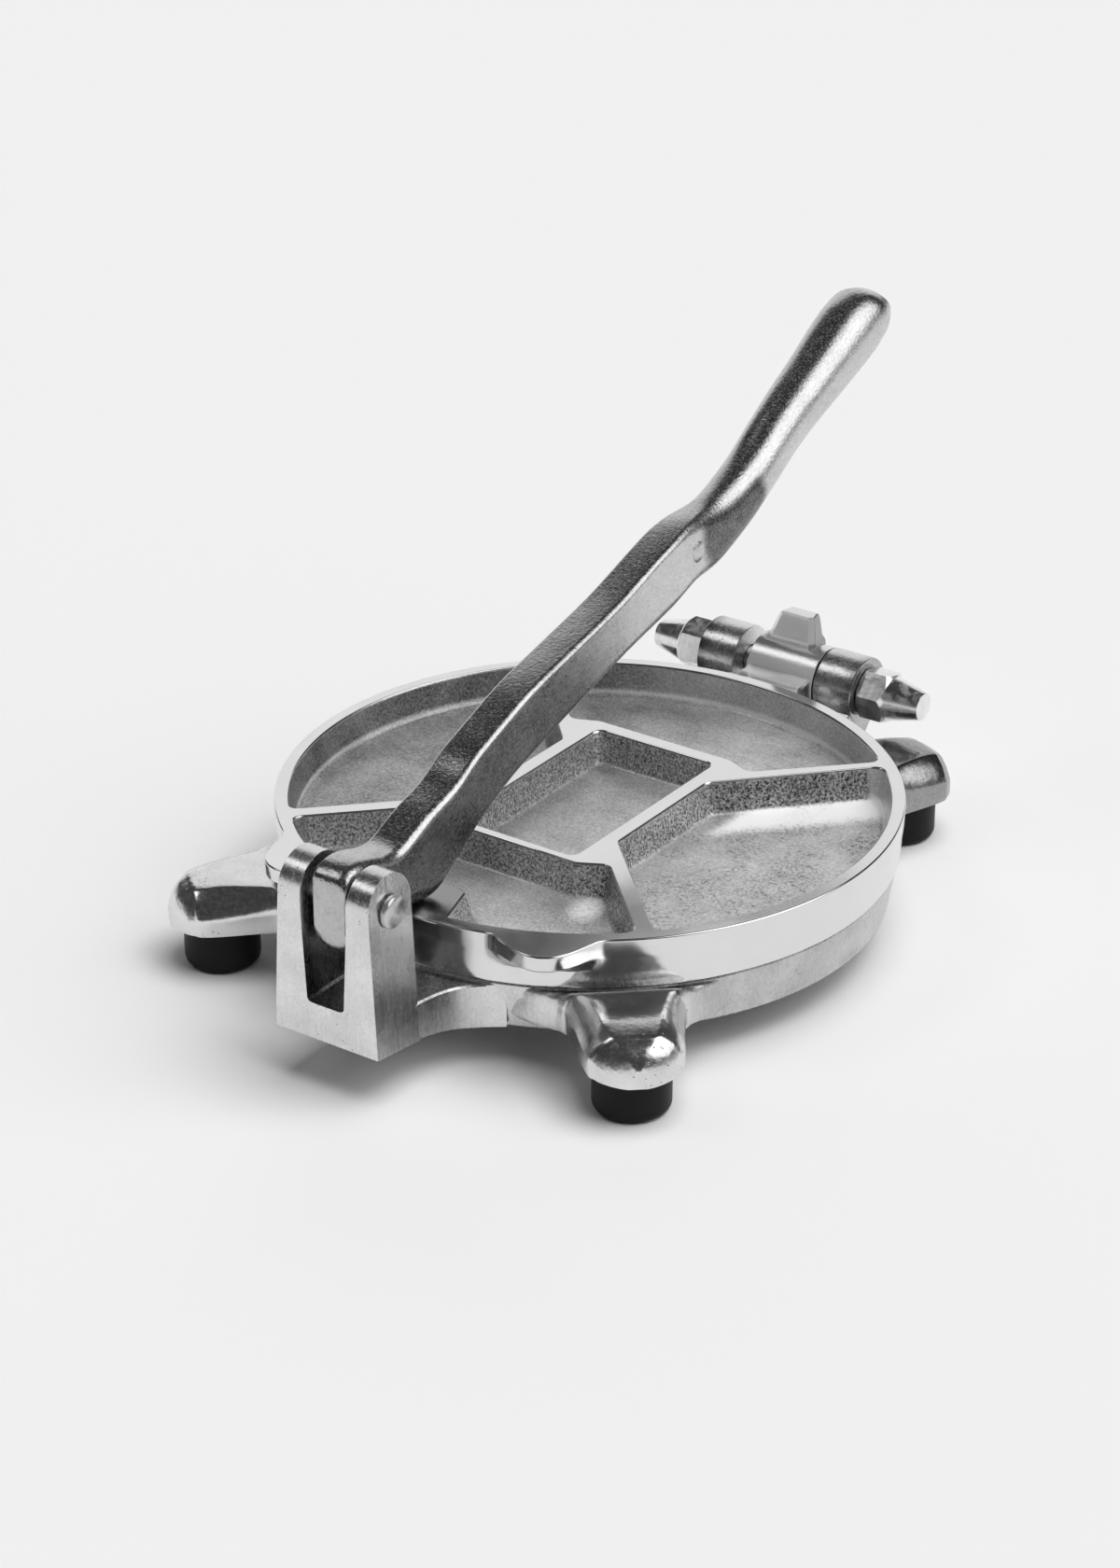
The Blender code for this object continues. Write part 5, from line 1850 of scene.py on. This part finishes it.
    def bar(self) -> Solid:
        """Skin the lever over its stations.

        Returns:
            The solid.
        """
        rings = []
        for top_y, top_z, low_y, low_z, width, depth in threaded(self.stations, 4):
            top = self.spot(top_y, top_z)
            low = self.spot(low_y, low_z)
            height = (top - low).length
            ring = []
            for side, up in self.section(top_y, self.half_width * width, height, depth):
                point = low.lerp(top, up / height)
                ring.append((side, point.y, point.z))
            rings.append(ring)
        return Solid.loft("lever_bar", rings).bevel(self.tip_edge, 4, 50.0)

    def knob(self) -> Solid:
        """Make the small cast knob, part of a ball, where the right side face ends.

        Returns:
            The solid.
        """
        place = self.spot(*self.knob_share)
        size = self.knob_radius
        middle = self.half_width + self.knob_rise - size
        rest = 90.0 - self.knob_start
        turns = swing(self.knob_start + rest * step / self.knob_steps for step in range(self.knob_steps))
        profile = [(0.0, middle + size * 0.6)]
        profile += [(size * out, middle + size * rise) for out, rise in turns]
        return self.lathe.turn("knob", profile + [(0.0, middle + size)], 36, sideways(place.y, place.z))

    def build(self) -> bpy.types.Object:
        """Make the lever.

        Returns:
            The finished lever.
        """
        shift = self.layout.shift
        neck = self.spot(*self.neck_share) + shift
        material = self.lathe.load(LeverFinish(neck.y, neck.z))
        reach = self.half_width + OVERRUN
        bore = drum(self.hub_bore, -reach, reach)
        body = self.bar().join(self.knob())
        body.cut(self.lathe.turn("hub_bore", bore, 64, self.layout.pin, math.pi / 64))
        return body.dress("lever_bar_and_grip", material, shift, 38.0)


@dataclass
class HingeHardware:
    """The hinge rod with its two cone nuts, and the clevis rivet."""

    layout: Layout
    lathe: Lathe
    clevis_half: float
    rod_radius: float = 0.00475
    clearance: float = 0.0003
    across_flats: float = 0.0160
    hex_length: float = 0.0098
    cone_length: float = 0.0120
    cone_radius: float = 0.0078
    end_radius: float = 0.0048
    end_edge: float = 0.0008
    bore_depth: float = 0.0130
    right_face: float = 0.0302
    left_face: float = 0.0315
    right_turn: float = math.radians(48.0)
    left_turn: float = math.radians(20.0)
    rod_shortfall: float = 0.0010
    rivet_radius: float = 0.0038
    head_radius: float = 0.0052
    head_height: float = 0.0024
    head_edge: float = 0.38
    head_steps: int = 8

    def rod(self) -> bpy.types.Object:
        """Make the plain hinge rod.

        Returns:
            The finished rod.
        """
        material = self.lathe.load(BrightFinish("rod_steel", 0.56, 0.28))
        chamfer = self.rod_shortfall
        left = -self.left_face - self.bore_depth + chamfer
        right = self.right_face + self.bore_depth - chamfer
        radius = self.rod_radius
        profile = [(0.0, left), (radius - chamfer, left), (radius, left + chamfer)]
        profile += [(radius, right - chamfer), (radius - chamfer, right), (0.0, right)]
        body = self.lathe.turn("rod", profile, 64, self.layout.hinge)
        return body.dress("plain_rod", material, self.layout.shift)

    def nut(self, name: str, side: int, face: float, turn: float) -> bpy.types.Object:
        """Make one six-sided nut with chamfered corners and a closed cone.

        Args:
            name: the piece's name.
            side: 1 on the right and -1 on the left.
            face: distance from the plate's axis to the nut's inner face.
            turn: how far the nut is turned.

        Returns:
            The finished nut.
        """
        material = self.lathe.load(BrightFinish("nut_plating", 0.84, 0.22))
        corner = self.across_flats / math.sqrt(3.0)
        drop = corner - self.across_flats / 2
        edge = self.end_edge
        shoulder = face + self.hex_length
        tip = shoulder + self.cone_length
        bore = drum(self.rod_radius + self.clearance, face - OVERRUN, face + self.bore_depth)
        round_off = [
            (0.0, face - OVERRUN), (corner - drop, face - OVERRUN), (corner - drop * 0.9, face),
            (corner + OVERRUN * 0.2, face + drop * 0.7), (corner + OVERRUN * 0.2, shoulder - drop * 1.2),
            (corner - drop, shoulder), (self.cone_radius, shoulder + edge * 0.5),
            (self.cone_radius * 0.9, shoulder + edge * 2), (0.0, shoulder + edge * 2),
        ]
        end = self.end_radius
        cone = [(0.0, shoulder - edge), (self.cone_radius, shoulder - edge), (self.cone_radius, shoulder)]
        cone += [(end + edge * 0.15, tip - edge), (end - edge * 0.2, tip - edge * 0.3)]
        cone += [(end - edge, tip), (0.0, tip)]

        def turned(title: str, profile: Sequence[Rim], steps: int, start: float = 0.0) -> Solid:
            """Turn a profile on this nut's side of the plate's axis."""
            sided = [(radius, side * height) for radius, height in profile]
            return self.lathe.turn(title, sided, steps, self.layout.hinge, start)

        body = turned(name, drum(corner, face, shoulder + edge), 6, turn)
        body.combine(turned("round_off", round_off, 96), "INTERSECT")
        body.join(turned("cone", cone, 60, 0.02))
        body.cut(turned("nut_bore", bore, 48, 0.03))
        return body.dress(name, material, self.layout.shift, 25.0)

    def rivet(self) -> bpy.types.Object:
        """Make the rivet with two domed heads.

        Returns:
            The finished rivet.
        """
        material = self.lathe.load(BrightFinish("rivet_metal", 0.60, 0.30))
        inner = self.clevis_half + self.clearance
        high = self.head_height
        edge = self.head_edge
        head = self.head_radius
        half = [(self.rivet_radius, inner), (head, inner), (head, inner + high * edge)]
        for out, rise in quarter(self.head_steps, range(1, self.head_steps)):
            half.append((head * out**0.8, inner + high * (edge + (1.0 - edge) * rise)))
        half.append((0.0, inner + high))
        profile = [(radius, -height) for radius, height in reversed(half)] + half
        body = self.lathe.turn("rivet", profile, 64, self.layout.pin)
        return body.dress("riveted_pin", material, self.layout.shift)


@dataclass
class RubberFeet:
    """Four moulded feet, set on the lobes by one node tree."""

    layout: Layout
    lathe: Lathe
    lobe_reach: float
    front_angle: float
    rear_angle: float
    radius: float = 0.0120
    height: float = 0.0150
    edge: float = 0.0030
    edge_steps: int = 6
    stem_radius: float = 0.0040
    stem_height: float = 0.0060
    seed: int = 7

    def pattern(self) -> tuple[bpy.types.NodeTree, dict[str, str]]:
        """Lay out the tree that sets a foot on each corner of a trapezium.

        Returns:
            The tree, and its inputs' identifiers by name.
        """
        kinds = dict.fromkeys(("Front Half", "Front Y", "Rear Half", "Rear Y"), "Float")
        bench, keys, wires = grown("feet_on_lobes", {**kinds, "Finish": "Material"})
        foot, front_half, front_y, rear_half, rear_y, finish = wires
        grid = bench.node("GeometryNodeMeshGrid", {}, {0: 2.0, 1: 2.0, 2: 2, 3: 2})
        x, y, _ = bench.parts(bench.node("GeometryNodeInputPosition", {}, {}))
        rear = (y + 1.0) / 2.0
        half = front_half + (rear_half - front_half) * rear
        along = front_y + (rear_y - front_y) * rear
        spot = bench.node("ShaderNodeCombineXYZ", {}, {0: x * half, 1: along, 2: 0.0})
        corners = bench.node("GeometryNodeSetPosition", {}, {"Geometry": grid, "Position": spot})
        spread = {"Min": 0.0, "Max": math.tau, "Seed": self.seed}
        spin = bench.node("FunctionNodeRandomValue", {"data_type": "FLOAT"}, spread, 1)
        turn = bench.node("ShaderNodeCombineXYZ", {}, {0: 0.0, 1: 0.0, 2: spin})
        sockets = {"Points": corners, "Instance": foot, "Rotation": turn}
        bench.close(bench.node("GeometryNodeInstanceOnPoints", {}, sockets), finish)
        return bench.tree, keys

    def build(self) -> bpy.types.Object:
        """Make the four feet as one piece.

        Returns:
            The finished feet.
        """
        material = self.lathe.load(RubberFinish())
        edge = self.edge
        top = self.height + self.stem_height
        profile = [(0.0, 0.0), (self.radius - edge * 1.1, 0.0)]
        for rise, out in quarter(self.edge_steps, range(self.edge_steps + 1)):
            profile.append((self.radius - edge + edge * out, edge * (1.0 - rise)))
        profile += [(self.radius, self.height - edge * 0.1), (self.radius - edge * 0.1, self.height)]
        profile += [(self.stem_radius, self.height), (self.stem_radius, top), (0.0, top)]
        foot = self.lathe.turn("rubber_feet", profile, 72, upright(0.0, 0.0))
        tree, keys = self.pattern()
        values = {
            "Front Half": self.lobe_reach * math.cos(self.front_angle),
            "Front Y": -self.lobe_reach * math.sin(self.front_angle),
            "Rear Half": self.lobe_reach * math.cos(self.rear_angle),
            "Rear Y": self.lobe_reach * math.sin(self.rear_angle),
            "Finish": material,
        }
        foot.grow(tree, {keys[name]: value for name, value in values.items()})
        return foot.dress("moulded_feet", material, self.layout.shift)


@dataclass
class Studio:
    """Pale floor, soft overhead light, surroundings with a dark ceiling and two lamps, and the camera."""

    floor_half: float = 30.0
    sun_energy: float = 1.90
    sun_size: float = math.radians(46.0)
    sun_tilt: tuple[float, float, float] = (math.radians(-4.0), math.radians(14.0), 0.0)
    backdrop: float = 0.90
    ceiling: float = 0.045
    ceiling_start: Band = (0.16, -0.02)
    far_side: Point = (-0.576, 0.818, 0.0)
    far_width: Band = (0.80, 0.96)
    far_rise: float = 0.62
    right_box: Point = (0.720, 0.200, 0.664)
    right_side: Point = (-0.424, 0.901, 0.090)
    right_glow: float = 1.9
    right_length: tuple[float, float] = (math.radians(34.0), math.radians(18.0))
    right_width: Band = (0.54, 0.42)
    left_box: Point = (-0.520, -0.310, 0.796)
    left_glow: float = 1.8
    left_spread: tuple[float, float] = (math.radians(14.0), math.radians(5.0))
    image_height: float = 1680.0
    focal_pixels: float = 4158.79
    sensor: float = 36.0
    azimuth: float = 0.61357695
    elevation: float = 0.46219129
    distance: float = 1.25079
    aim_right: float = -0.0094086
    aim_up: float = 0.0419639
    nearest: float = 0.01
    farthest: float = 200.0

    def floor(self) -> None:
        """Make the floor, which only stages the press."""
        corners = block(self.floor_half, -self.floor_half, self.floor_half, 0.0)
        mesh = bpy.data.meshes.new("studio_floor")
        mesh.from_pydata(corners, [], [(0, 1, 2, 3)])
        mesh.materials.append(FloorFinish().material())
        item = bpy.data.objects.new("studio_floor", mesh)
        bpy.context.scene.collection.objects.link(item)

    def light(self) -> None:
        """Hang one large soft light over the press."""
        lamp = bpy.data.lights.new("overhead", "SUN")
        lamp.energy = self.sun_energy
        lamp.angle = self.sun_size
        item = bpy.data.objects.new("overhead", lamp)
        item.rotation_euler = self.sun_tilt
        item.visible_glossy = False
        bpy.context.scene.collection.objects.link(item)

    def world(self) -> None:
        """Paint the surroundings that the metal reflects.

        They are bright round the horizon and higher up behind the press, and dark overhead. A long lamp
        hangs at the right and a small one at the left. What the camera sees of them is plain pale grey.
        """
        world = bpy.data.worlds.new("studio")
        bpy.context.scene.world = world
        world.use_nodes = True
        bench = Bench(world.node_tree)
        way = bench.node("ShaderNodeTexCoord", {}, {}, "Generated")

        def towards(aim: Point) -> Wire:
            """Cosine of the angle between the direction seen and an aim."""
            settings = {"operation": "DOT_PRODUCT"}
            return bench.node("ShaderNodeVectorMath", settings, {0: way, 1: aim}, "Value")

        height = bench.parts(way)[2]
        level = (1.0 - height * height).math("MAXIMUM", 0.01).math("SQRT")
        far = (towards(self.far_side) / level).step(*self.far_width)
        glow = (height - self.far_rise * far).step(*self.ceiling_start)
        right = towards(self.right_box).step(*(math.cos(angle) for angle in self.right_length))
        right = right * towards(self.right_side).size().step(*self.right_width)
        left = towards(self.left_box).step(*(math.cos(angle) for angle in self.left_spread))
        tone = self.ceiling + (self.backdrop - self.ceiling) * glow
        tone = tone + self.right_glow * right + self.left_glow * left
        seen = bench.node("ShaderNodeLightPath", {}, {}, "Is Camera Ray")
        tone = tone * (1.0 - seen) + GREY_WHITE * seen
        bench.plug(world.node_tree.nodes["Background"].inputs["Color"], bench.glow(tone))

    def camera(self, shift: Vector) -> None:
        """Set the camera at the viewing angle of the photograph.

        Args:
            shift: from the drawing's middle to the frame.
        """
        sin_a = math.sin(self.azimuth)
        cos_a = math.cos(self.azimuth)
        cos_e = math.cos(self.elevation)
        back = Vector((sin_a * cos_e, -cos_a * cos_e, math.sin(self.elevation)))
        right = Vector((cos_a, sin_a, 0.0))
        up = back.cross(right)
        lens = bpy.data.cameras.new("viewer")
        lens.sensor_width = self.sensor
        lens.sensor_fit = "AUTO"
        lens.lens = self.focal_pixels * self.sensor / self.image_height
        lens.clip_start = self.nearest
        lens.clip_end = self.farthest
        item = bpy.data.objects.new("viewer", lens)
        matrix = Matrix((right, up, back)).transposed().to_4x4()
        matrix.translation = right * self.aim_right + up * self.aim_up + back * self.distance + shift
        item.matrix_world = matrix
        bpy.context.scene.collection.objects.link(item)
        bpy.context.scene.camera = item

    def build(self, shift: Vector) -> None:
        """Set the whole studio.

        Args:
            shift: from the drawing's middle to the frame.
        """
        self.floor()
        self.light()
        self.world()
        self.camera(shift)
        bpy.context.scene.view_settings.view_transform = "Standard"


def seat(item: bpy.types.Object, body: Body, slot: Slot, *nodes: str) -> None:
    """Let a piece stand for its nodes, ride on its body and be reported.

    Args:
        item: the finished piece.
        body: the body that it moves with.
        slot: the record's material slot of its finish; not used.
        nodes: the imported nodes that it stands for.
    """
    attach(item, body.value)
    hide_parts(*nodes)
    LOG.info("%s: %d faces", item.name, len(item.data.polygons))


def main() -> None:
    """Build the press and its studio."""
    logging.basicConfig(level=logging.INFO)
    layout = Layout.from_frame()
    lathe = Lathe()
    Studio().build(layout.shift)
    base = CastBase(layout, lathe)
    seat(base.build(), Body.BASE, Slot.BASE, "base_casting")
    seat(PressingPlate(layout, lathe).build(), Body.PLATE, Slot.PLATE, "top_plate")
    seat(LeverBar(layout, lathe).build(), Body.LEVER, Slot.LEVER, "lever_handle")
    head_foot = layout.pin_z - HingeHardware.head_radius
    hardware = HingeHardware(layout, lathe, base.clevis_half(head_foot))
    seat(hardware.rod(), Body.BASE, Slot.ROD, "hinge_rod")
    left = hardware.nut("left_cone_nut", -1, hardware.left_face, hardware.left_turn)
    right = hardware.nut("right_cone_nut", 1, hardware.right_face, hardware.right_turn)
    seat(left, Body.BASE, Slot.NUT, "cone_nut_left")
    seat(right, Body.BASE, Slot.NUT, "cone_nut_right")
    seat(hardware.rivet(), Body.BASE, Slot.PIN, "clevis_pin")
    feet = RubberFeet(layout, lathe, base.lobe_reach, base.front_angle, base.rear_angle)
    corners = ("front_left", "front_right", "rear_left", "rear_right")
    seat(feet.build(), Body.BASE, Slot.RUBBER, *("rubber_foot_" + corner for corner in corners))


if __name__ == "__main__":
    main()
